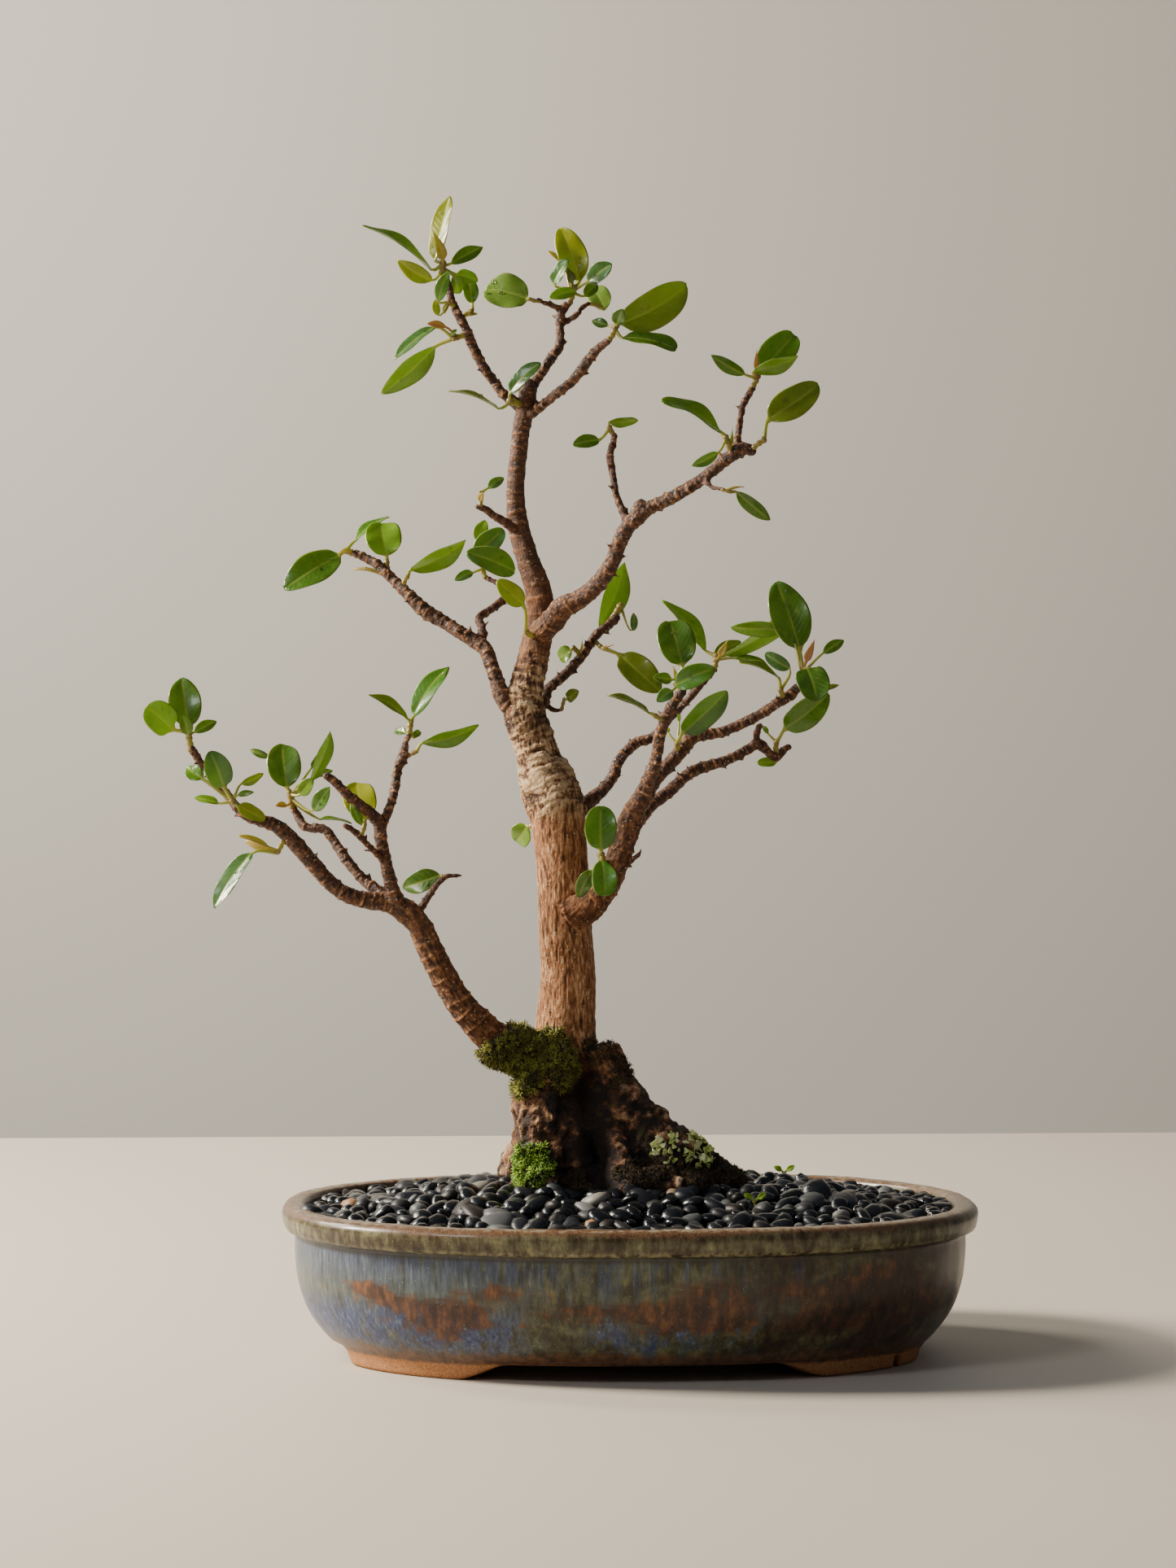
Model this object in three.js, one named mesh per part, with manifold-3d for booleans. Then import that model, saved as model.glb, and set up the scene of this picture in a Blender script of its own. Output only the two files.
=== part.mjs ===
// A small ficus grown as a bonsai, standing in an oval stoneware pot dressed with black pebbles.
// Millimetres, +Z up, the pot's long side along X and its front towards -Y.
// The pot is built about the origin. At the end the whole plant moves so that the origin is on the
// table, under the middle of its box.
import * as THREE from 'three';
import { mergeVertices } from 'three/addons/utils/BufferGeometryUtils.js';
import Module from 'manifold-3d';

const wasm = await Module();
wasm.setup();

// ---------------------------------------------------------------- driving dimensions
// Pot
const POT_LENGTH = 260;
const POT_DEPTH = 206;
const POT_HEIGHT = 56;
const POT_WALL = 6;
const POT_FLOOR = 6;
const OUTLINE_POWER = 2.35; // 2 is an ellipse, more is squarer
const LIP_WIDTH = 9;
const LIP_HEIGHT = 9.5;
const LIP_OVERHANG = 4.7; // how far the lip stands out past the wall under it
const BASE_INSET = 18.5; // how far the wall draws in from the lip to the underside
const BELLY_POWER = 3.1; // how late the wall starts to draw in
const FOOT_HEIGHT = 6;
const FOOT_WIDTH = 12;
const FOOT_START_DEG = 22; // each foot follows the base outline between these angles from its end
const FOOT_END_DEG = 56;
const FOOT_END_RAMP_DEG = 5;
const FOOT_MIDDLE_RAMP_DEG = 12;
const FOOT_NOTCH_WIDTH = 3.6;
const FOOT_NOTCH_DEG = 33;
const DRAIN_DIAMETER = 18;
const DRAIN_SPACING = 104;
// Drainage mesh
const MESH_SIZE = 27;
const MESH_THICKNESS = 1.2;
const MESH_BAR = 1.8;
const MESH_CELLS = 3;
// Filling
const SOIL_BELOW_RIM = 11;
const PEBBLES_BELOW_RIM = 3.5;
const PEBBLE_MOUND = 9; // how far the pebbles rise above their edge towards the roots
// Tree, measured up from the level of the pot's rim
const TREE_HEIGHT = 376;
const TRUNK_DIAMETER = 19.6; // half way up the lower trunk
const LEAF_THICKNESS = 0.9;
const PETIOLE_DIAMETER = 1.3;
const MOSS_THICKNESS = 3.5;
const LICHEN_THICKNESS = 1.6;
// Gap left between neighbouring pieces
const CLEARANCE = 0.3;

// The tree's points below are drawn for these two sizes, and scaled to the ones above.
const DRAWN_TREE_HEIGHT = 376;
const DRAWN_TRUNK_DIAMETER = 19.6;
const TREE_SCALE = TREE_HEIGHT / DRAWN_TREE_HEIGHT;
const GIRTH_SCALE = TRUNK_DIAMETER / DRAWN_TRUNK_DIAMETER;

const FLOOR_TOP = FOOT_HEIGHT + POT_FLOOR;
const LIP_BOTTOM = POT_HEIGHT - LIP_HEIGHT;
const SOIL_TOP = POT_HEIGHT - SOIL_BELOW_RIM;

// ---------------------------------------------------------------- solids
function solidOf(geometry) {
  geometry.deleteAttribute('normal');
  geometry.deleteAttribute('uv');
  const merged = mergeVertices(geometry, 1e-4);
  return new wasm.Manifold(new wasm.Mesh({
    numProp: 3,
    vertProperties: new Float32Array(merged.attributes.position.array),
    triVerts: new Uint32Array(merged.index.array),
  }));
}

function geometryOf(solid) {
  const mesh = solid.getMesh();
  const geometry = new THREE.BufferGeometry();
  geometry.setAttribute('position', new THREE.BufferAttribute(mesh.vertProperties, 3));
  geometry.setIndex(new THREE.BufferAttribute(mesh.triVerts, 1));
  geometry.computeVertexNormals();
  return geometry;
}

const join = (solids) => solids.reduce((whole, solid) => whole.add(solid));
const cut = (solid, cutters) => cutters.reduce((rest, cutter) => rest.subtract(cutter), solid);

// A closed body through rings of equally many points, each turning anticlockwise about the way along.
function loft(rings) {
  const count = rings[0].length;
  const last = (rings.length - 1) * count;
  const faces = [];
  for (let ring = 0; ring < rings.length - 1; ring += 1) {
    for (let step = 0; step < count; step += 1) {
      const a = ring * count + step;
      const b = ring * count + (step + 1) % count;
      faces.push(a, b, b + count, a, b + count, a + count);
    }
  }
  for (let step = 1; step < count - 1; step += 1) {
    faces.push(0, step + 1, step, last, last + step, last + step + 1);
  }
  const geometry = new THREE.BufferGeometry().setFromPoints(rings.flat());
  geometry.setIndex(faces);
  return solidOf(geometry);
}

// ---------------------------------------------------------------- pot
// One level of an oval, drawn in from the lip's outermost line by inset.
function ovalPoint(inset, z, angle) {
  const power = 2 / OUTLINE_POWER;
  const along = Math.cos(angle);
  const across = Math.sin(angle);
  return new THREE.Vector3(
    (POT_LENGTH / 2 - inset) * Math.sign(along) * Math.abs(along) ** power,
    (POT_DEPTH / 2 - inset) * Math.sign(across) * Math.abs(across) ** power,
    z,
  );
}

const OVAL_STEPS = 36;

function oval(inset, z) {
  return Array.from({ length: OVAL_STEPS }, (_, step) => ovalPoint(inset, z, (2 * Math.PI * step) / OVAL_STEPS));
}

function bellyInset(z) {
  const rise = Math.min(1, Math.max(0, (z - FOOT_HEIGHT) / (LIP_BOTTOM - FOOT_HEIGHT)));
  return LIP_OVERHANG + (BASE_INSET - LIP_OVERHANG) * (1 - rise) ** BELLY_POWER;
}

const innerInset = (z) => bellyInset(z) + POT_WALL;

// Levels between two heights, closer together low down where the wall curves most.
function levels(from, to, count) {
  return Array.from({ length: count + 1 }, (_, step) => from + (to - from) * (step / count) ** 1.5);
}

function potBody() {
  const outside = levels(FOOT_HEIGHT + 0.6, LIP_BOTTOM - 0.8, 5).map((z) => oval(bellyInset(z), z));
  const lip = [
    oval(LIP_OVERHANG - 0.4, LIP_BOTTOM),
    oval(1.6, LIP_BOTTOM + 0.8),
    oval(0.4, LIP_BOTTOM + 3),
    oval(0, LIP_BOTTOM + 5.8),
    oval(0.9, POT_HEIGHT - 1.4),
    oval(3.4, POT_HEIGHT),
    oval(LIP_WIDTH - 2, POT_HEIGHT),
    oval(LIP_WIDTH, POT_HEIGHT - 1.6),
  ];
  const inside = levels(FLOOR_TOP, LIP_BOTTOM, 3).reverse().map((z) => oval(innerInset(z), z));
  return loft([oval(BASE_INSET + 1.5, FOOT_HEIGHT), ...outside, ...lip, ...inside]);
}

// A foot follows the base outline, ending in a short ramp at the pot's end and a long one at its middle.
function foot(quadrant) {
  const rings = [];
  const low = FOOT_START_DEG - FOOT_END_RAMP_DEG;
  const high = FOOT_END_DEG + FOOT_MIDDLE_RAMP_DEG;
  const steps = 8;
  for (let step = 0; step <= steps; step += 1) {
    const fromEnd = low + ((high - low) * step) / steps;
    const lift = Math.max(
      1 - THREE.MathUtils.smoothstep(fromEnd, low, FOOT_START_DEG),
      THREE.MathUtils.smoothstep(fromEnd, FOOT_END_DEG, high),
    );
    const z = lift * (FOOT_HEIGHT + 0.4);
    const mirrored = quadrant % 2 === 1;
    const turn = quadrant * 90 + (mirrored ? 90 - fromEnd : fromEnd);
    const angle = THREE.MathUtils.degToRad(turn);
    const ring = [
      ovalPoint(BASE_INSET + 0.4, FOOT_HEIGHT + 1.2, angle),
      ovalPoint(BASE_INSET + 0.9, Math.min(z + 1.4, FOOT_HEIGHT + 0.8), angle),
      ovalPoint(BASE_INSET + 2, z, angle),
      ovalPoint(BASE_INSET + FOOT_WIDTH - 1, z, angle),
      ovalPoint(BASE_INSET + FOOT_WIDTH, FOOT_HEIGHT + 1.2, angle),
    ];
    rings[mirrored ? steps - step : step] = ring;
  }
  return loft(rings);
}

function drainHole(x) {
  const hole = new THREE.CylinderGeometry(DRAIN_DIAMETER / 2, DRAIN_DIAMETER / 2, POT_FLOOR * 4, 20);
  hole.rotateX(Math.PI / 2);
  hole.translate(x, 0, FLOOR_TOP);
  return solidOf(hole);
}

// The tie notch across the front foot on the right.
function footNotch() {
  const angle = THREE.MathUtils.degToRad(-FOOT_NOTCH_DEG);
  const middle = ovalPoint(BASE_INSET + FOOT_WIDTH / 2, 0, angle);
  const notch = new THREE.BoxGeometry(FOOT_WIDTH * 2.5, FOOT_NOTCH_WIDTH, FOOT_HEIGHT * 1.6);
  notch.rotateZ(angle - 0.5);
  notch.translate(middle.x, middle.y, 0);
  return solidOf(notch);
}

const DRAIN_PLACES = [-DRAIN_SPACING / 2, DRAIN_SPACING / 2];

function pot() {
  const whole = join([potBody(), ...[0, 1, 2, 3].map(foot)]);
  return cut(whole, [...DRAIN_PLACES.map(drainHole), footNotch()]);
}

// ---------------------------------------------------------------- drainage mesh
function slab(side, height, x, y) {
  const box = new THREE.BoxGeometry(side, side, height);
  box.translate(x, y, FLOOR_TOP + CLEARANCE + MESH_THICKNESS / 2);
  return solidOf(box);
}

function drainageMesh(x) {
  const pitch = (MESH_SIZE - MESH_BAR) / MESH_CELLS;
  const openings = [];
  for (let row = 0; row < MESH_CELLS; row += 1) {
    for (let column = 0; column < MESH_CELLS; column += 1) {
      const across = (column - (MESH_CELLS - 1) / 2) * pitch;
      const along = (row - (MESH_CELLS - 1) / 2) * pitch;
      openings.push(slab(pitch - MESH_BAR, MESH_THICKNESS * 2, x + across, along));
    }
  }
  return cut(slab(MESH_SIZE, MESH_THICKNESS, x, 0), openings);
}

const meshSpace = (x) => slab(MESH_SIZE + 2 * CLEARANCE, MESH_THICKNESS + 2 * CLEARANCE, x, 0);

// ---------------------------------------------------------------- wood
function place([x, y, z]) {
  return new THREE.Vector3(x, y, z).multiplyScalar(TREE_SCALE).setZ(z * TREE_SCALE + POT_HEIGHT);
}

// A round limb through points [x, y, z, radius], with a rounded far end.
function limb(path, { sides = 8, grow = 0 } = {}) {
  const centres = path.map(place);
  const radii = path.map((point) => point[3] * TREE_SCALE * GIRTH_SCALE + grow);
  const count = centres.length;
  const wayAt = (i) => centres[Math.min(i + 1, count - 1)].clone().sub(centres[Math.max(i - 1, 0)]).normalize();
  const endWay = wayAt(count - 1);
  const startWay = wayAt(0);
  centres.push(centres[count - 1].clone().addScaledVector(endWay, radii[count - 1] * 0.6));
  radii.push(radii[count - 1] * 0.55);
  centres[0].addScaledVector(startWay, -grow);
  let side = new THREE.Vector3(1, 0.2, 0.1);
  const rings = centres.map((centre, i) => {
    const way = i < count ? wayAt(i) : endWay;
    side = side.clone().addScaledVector(way, -side.dot(way)).normalize();
    const up = way.clone().cross(side);
    return Array.from({ length: sides }, (_, step) => {
      const angle = (2 * Math.PI * step) / sides;
      return centre.clone()
        .addScaledVector(side, Math.cos(angle) * radii[i])
        .addScaledVector(up, Math.sin(angle) * radii[i]);
    });
  });
  return loft(rings);
}

// Every limb's points are [x, y, z, radius], from where it leaves its parent to its tip.
const TRUNK = [
  [-23, 1, 44, 13.5], [-24, 1, 62, 11.4], [-23, 0, 84, 10.2], [-24, 0, 99, 9.9], [-24.5, -1, 114, 9.8],
  [-25.5, -1, 129, 9.6], [-27, -1, 143, 10.2], [-28.5, 0, 149, 11.2], [-30.5, 1, 156, 10.6], [-34, 2, 165, 7.9],
  [-36, 3, 174, 7.8], [-39, 4, 181, 8.4], [-39.5, 5, 187, 7.6], [-38, 5, 195, 6.2], [-36, 6, 203, 5.9],
  [-34, 7, 212, 5.8], [-33, 7, 218, 6], [-34, 7, 229, 5.2], [-38, 8, 241, 4.5], [-41.5, 9, 254, 4.2],
  [-42.5, 8, 266, 3.6], [-41.5, 6, 280, 3.5], [-40, 4, 292, 3.6], [-38.5, 3, 299, 3.8], [-38, 2, 306, 3.2],
];
const ROOTS = [
  // heart of the root base, from the trunk down into the soil
  [[-23, 1, 48, 13], [-20, 0, 34, 17], [-14, -1, 20, 22], [-8, -1, 6, 26], [-6, 0, -8, 26], [-6, 0, -20, 19]],
  // left root
  [[-26, -2, 54, 11], [-30, -5, 42, 12.5], [-31, -8, 29, 13], [-31, -9, 17, 13], [-31, -10, 6, 14.5], [-30, -10, -6, 13]],
  // right root, a ridge coming down from the trunk
  [[-12, -1, 56, 8.5], [-8, -3, 45, 9.5], [-2, -6, 35, 10.5], [6, -9, 25, 11], [14, -12, 14, 12], [19, -13, 2, 12]],
  // shoulder running out to the right
  [[10, -8, 16, 11], [21, -7, 14, 10.5], [29, -6, 9, 10], [37, -5, 2, 9], [42, -4, -6, 6]],
  // roll of wood across the front
  [[-20, -14, 6, 11], [-8, -18, 4, 11.5], [8, -20, 4, 11], [22, -18, 2, 10]],
  // two roots at the back
  [[-20, 6, 36, 12], [-14, 14, 20, 13], [-8, 20, 6, 13], [-4, 24, -6, 10]],
  [[-28, 6, 28, 11], [-35, 12, 14, 11], [-41, 17, 2, 9], [-46, 22, -8, 6]],
];
// Each bough is one piece with its twigs. It starts inside the piece that it grew from.
const BOUGHS = {
  low_left_limb: {
    from: ['trunk'],
    limbs: [
      // main stem
      [[-34, -5, 53, 6.8], [-50, -11, 61, 6.5], [-57, -14, 67, 6.2], [-64, -16, 75, 5.4], [-70, -17, 85, 5.2],
        [-75, -19, 95, 5], [-79, -20, 104, 4.6], [-84, -21, 109, 4.8], [-90, -21, 112, 3.7], [-97, -22, 113, 3.5],
        [-105, -24, 115, 3.1], [-112, -25, 120, 3], [-119, -27, 128, 3.1], [-126, -28, 136, 3.1], [-132, -29, 141, 2.7],
        [-141, -31, 144, 2.2], [-146, -31, 148, 1.9], [-152, -32, 156, 1.6], [-158, -33, 163, 1.5], [-162, -34, 169, 1.7]],
      // short twig towards the trunk
      [[-79, -18, 109, 1.6], [-75, -15, 115, 1.4], [-70, -12, 121, 1.2], [-65, -12, 122, 0.9], [-63, -11, 122, 0.5]],
      // middle twig
      [[-88, -19, 113, 2.6], [-95, -16, 117, 2.4], [-100, -14, 121, 2.2], [-106, -12, 128, 2.1], [-110, -9, 134, 1.9],
        [-114, -8, 139, 1.9], [-121, -7, 140, 1.8], [-124, -5, 144, 1.7], [-126, -5, 148, 1.4]],
      // upright twig
      [[-86, -22, 110, 3.1], [-89, -25, 118, 2.7], [-91, -27, 126, 2.5], [-93, -29, 135, 2.5], [-94, -30, 142, 2.6],
        [-100, -34, 148, 2.1], [-105, -37, 152, 1.9], [-110, -39, 157, 1.8], [-113, -41, 159, 1.5]],
      // its upper fork
      [[-93, -29, 141, 2.2], [-90, -27, 147, 1.8], [-88, -24, 154, 1.8], [-87, -22, 161, 1.8], [-85, -21, 166, 2.2],
        [-84, -19, 171, 1.4], [-83, -18, 174, 1.2]],
      // spur in front
      [[-92, -28, 128, 1.4], [-96, -33, 132, 1.2], [-99, -37, 135, 1.2], [-103, -41, 139, 1.3], [-106, -43, 141, 1.1]],
    ],
  },
  upper_left_limb: {
    from: ['trunk'],
    limbs: [
      [[-40, 4, 181, 4.6], [-47, 3, 188, 3.6], [-50, 4, 196, 2.9], [-52, 6, 202, 2.8], [-54, 8, 207, 3], [-58, 10, 210, 2.9],
        [-63, 11, 213, 2.7], [-69, 14, 217, 2.7], [-77, 16, 222, 3], [-84, 18, 229, 2.4], [-89, 21, 234, 2.2],
        [-94, 22, 239, 2.1], [-99, 24, 242, 1.8], [-103, 25, 244, 1.6]],
      // back twig
      [[-55, 9, 209, 1.9], [-55, 13, 215, 1.7], [-56, 17, 219, 1.7], [-52, 20, 222, 1.6], [-47, 24, 226, 1.6],
        [-46, 27, 229, 1.3], [-49, 31, 233, 1.2], [-53, 34, 235, 1]],
    ],
  },
  trunk_left_spur: {
    from: ['trunk'],
    limbs: [
      [[-42, 7, 251, 2.1], [-46, 4, 254, 1.8], [-51, 3, 257, 1.7], [-54, 1, 259, 1.5], [-57, 0, 260, 1.2]],
    ],
  },
  crown_left_branch: {
    from: ['trunk'],
    limbs: [
      [[-39, 3, 296, 2.6], [-44, 2, 300, 2.3], [-48, 0, 303, 1.9], [-51, 0, 307, 1.9], [-54, -2, 311, 2], [-57, -3, 316, 2],
        [-60, -5, 322, 2.1], [-62, -6, 327, 1.9], [-65, -7, 332, 1.8], [-67, -8, 337, 1.5], [-68, -8, 342, 1.4],
        [-70, -8, 346, 1.3]],
    ],
  },
  crown_middle_branch: {
    from: ['trunk'],
    limbs: [
      [[-38, 2, 301, 2.7], [-35.5, 5, 307, 2.2], [-32, 7, 312, 2], [-29, 9, 317, 2], [-26, 10, 321, 1.9], [-25.5, 12, 327, 1.8],
        [-25.5, 13, 332, 1.7], [-24, 14, 336, 1.8], [-21.5, 14, 339, 1.5]],
      // side twig
      [[-25, 13, 330, 1.3], [-19, 17, 334, 1.2], [-17, 19, 337, 1.1], [-14, 21, 339, 0.9]],
      // left twig
      [[-25, 14, 336, 1.4], [-28, 13, 337, 1.2], [-32, 11, 338, 1], [-34, 9, 339, 0.9]],
    ],
  },
  crown_right_branch: {
    from: ['trunk'],
    limbs: [
      [[-39, 3, 294, 2.6], [-34, -1, 297, 2.1], [-30, -4, 300, 1.8], [-26, -8, 303, 1.9], [-22, -10, 306, 2],
        [-18, -13, 311, 2.1], [-15, -15, 315, 2], [-12, -17, 318, 1.7], [-9, -20, 320, 1.4]],
    ],
  },
  upper_right_limb: {
    from: ['trunk'],
    limbs: [
      [[-34, 5, 213, 5.2], [-29, 0, 217, 4.7], [-25, -4, 222, 4.5], [-19, -7, 225, 3.7], [-13, -11, 230, 3.4],
        [-8, -16, 237, 3.1], [-5, -19, 245, 3], [-2, -21, 251, 3.1], [2, -23, 255, 3.3], [6, -24, 258, 2.7],
        [13, -27, 261, 2.6], [20, -29, 265, 2.5], [26, -31, 269, 2.3], [32, -33, 274, 2.4], [36, -34, 277, 2.6],
        [40, -34, 279, 2.7], [43, -35, 278, 1.9]],
      // upright twig
      [[37, -34, 278, 2], [38, -32, 284, 1.5], [39, -30, 290, 1.3], [40, -28, 295, 1.4], [42, -27, 299, 1.4], [44, -26, 302, 1.3]],
      // inner twig
      [[-1, -20, 252, 2.1], [-4, -18, 258, 1.6], [-6, -16, 264, 1.4], [-7, -14, 271, 1.5], [-8, -12, 278, 1.6],
        [-7, -11, 282, 1.5], [-6, -10, 286, 1.2]],
      // low twig
      [[26, -32, 269, 1.3], [28, -34, 265, 0.9], [32, -37, 264, 0.8]],
    ],
  },
  short_right_branch: {
    from: ['trunk'],
    limbs: [
      [[-36, 9, 184, 3], [-32, 12, 187, 2.4], [-30, 15, 192, 2.1], [-25, 17, 196, 2], [-20, 21, 201, 2], [-15, 25, 207, 1.9],
        [-11, 28, 213, 1.9], [-6, 30, 217, 1.9], [-3, 33, 220, 2]],
      // bud twig
      [[-31, 13, 186, 1.3], [-28, 12, 184, 1.1], [-25, 10, 184, 0.9]],
    ],
  },
  low_right_limb: {
    from: ['trunk'],
    limbs: [
      [[-23, -5, 108, 8], [-16, -9, 111, 7], [-12, -12, 115, 5.6], [-8, -16, 121, 5], [-5, -19, 130, 4.8], [-2, -21, 139, 4.9],
        [0, -23, 145, 4.4], [3, -26, 152, 3.2], [6, -29, 159, 2.8], [8, -31, 166, 2.3], [9, -33, 173, 2.3], [11, -36, 180, 2.3],
        [14, -38, 186, 2.2], [17, -39, 190, 1.9]],
      // outer branch
      [[3, -24, 148, 3.2], [7, -23, 156, 2.9], [10, -23, 160, 2.9], [15, -21, 165, 2.8], [20, -19, 171, 2.9], [24, -18, 174, 2.6],
        [32, -17, 175, 2.1], [40, -16, 178, 2.1], [48, -15, 182, 2.1], [54, -15, 186, 2.1], [59, -14, 189, 2.2], [62, -13, 192, 1.8]],
      // under branch
      [[1, -20, 142, 3.3], [7, -14, 148, 2.7], [14, -10, 153, 2.5], [21, -5, 159, 2.3], [27, -1, 162, 2.4], [37, 1, 165, 2],
        [45, 3, 169, 2], [49, 3, 171, 2.2], [54, 5, 167, 1.7], [56, 6, 166, 1.7], [59, 7, 169, 1.7], [61, 7, 170, 1.4]],
      // link twig
      [[49, 3, 170, 1.6], [48, 1, 174, 1.5], [49, 0, 178, 1.3]],
    ],
  },
  rear_right_branch: {
    from: ['trunk'],
    limbs: [
      [[-23, 3, 142, 4], [-15, 10, 149, 3.2], [-9, 16, 154, 2.4], [-5, 20, 159, 2.4], [-3, 23, 164, 2.3], [0, 26, 168, 2.2],
        [5, 28, 172, 2.2], [11, 28, 174, 2], [17, 29, 181, 1.8], [24, 28, 188, 1.6], [30, 26, 195, 1.5], [34, 25, 200, 1.5]],
    ],
  },
};

// Rounded patches of growth over the wood: [x, y, z, half length along X, Y, Z].
const MOSS_COLLAR = [[-48, -13, 56, 9, 9, 8], [-40, -14, 60, 9, 9, 8], [-31, -12, 57, 9, 9, 9], [-42, -14, 47, 9, 9, 8], [-26, -13, 50, 6, 8, 8]];
const MOSS_FOOT = [[-38, -20, 15, 10, 9, 9]];
const LICHEN_PATCH = [[12, -17, 21, 9, 9, 7], [24, -15, 20, 10, 9, 7]];

// Blade forms: shares of the length from the heel, and the breadth there as a share of the width.
const LANCE = [[0.15, 0.5], [0.5, 1], [1, 0.1]];
const OVAL = [[0.12, 0.55], [0.45, 1], [0.75, 0.75], [1, 0.1]];
const ROUND = [[0.08, 0.55], [0.32, 0.97], [0.7, 0.95], [1, 0.3]];
const BLUNT = [[0.1, 0.5], [0.4, 0.95], [0.78, 0.9], [1, 0.4]];
const SPEAR = [[0.1, 0.8], [0.35, 1], [0.7, 0.6], [1, 0.1]];
const SMALL = [[0.4, 1], [1, 0.15]];
const LEAF_FOLD = 0.2; // how steeply the halves rise from the midrib
const LEAF_ARCH = 0.06; // how far the blade humps, as a share of its length
const LEAF_SPACING = 0.08; // between leaves, as a share of the stem

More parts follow.
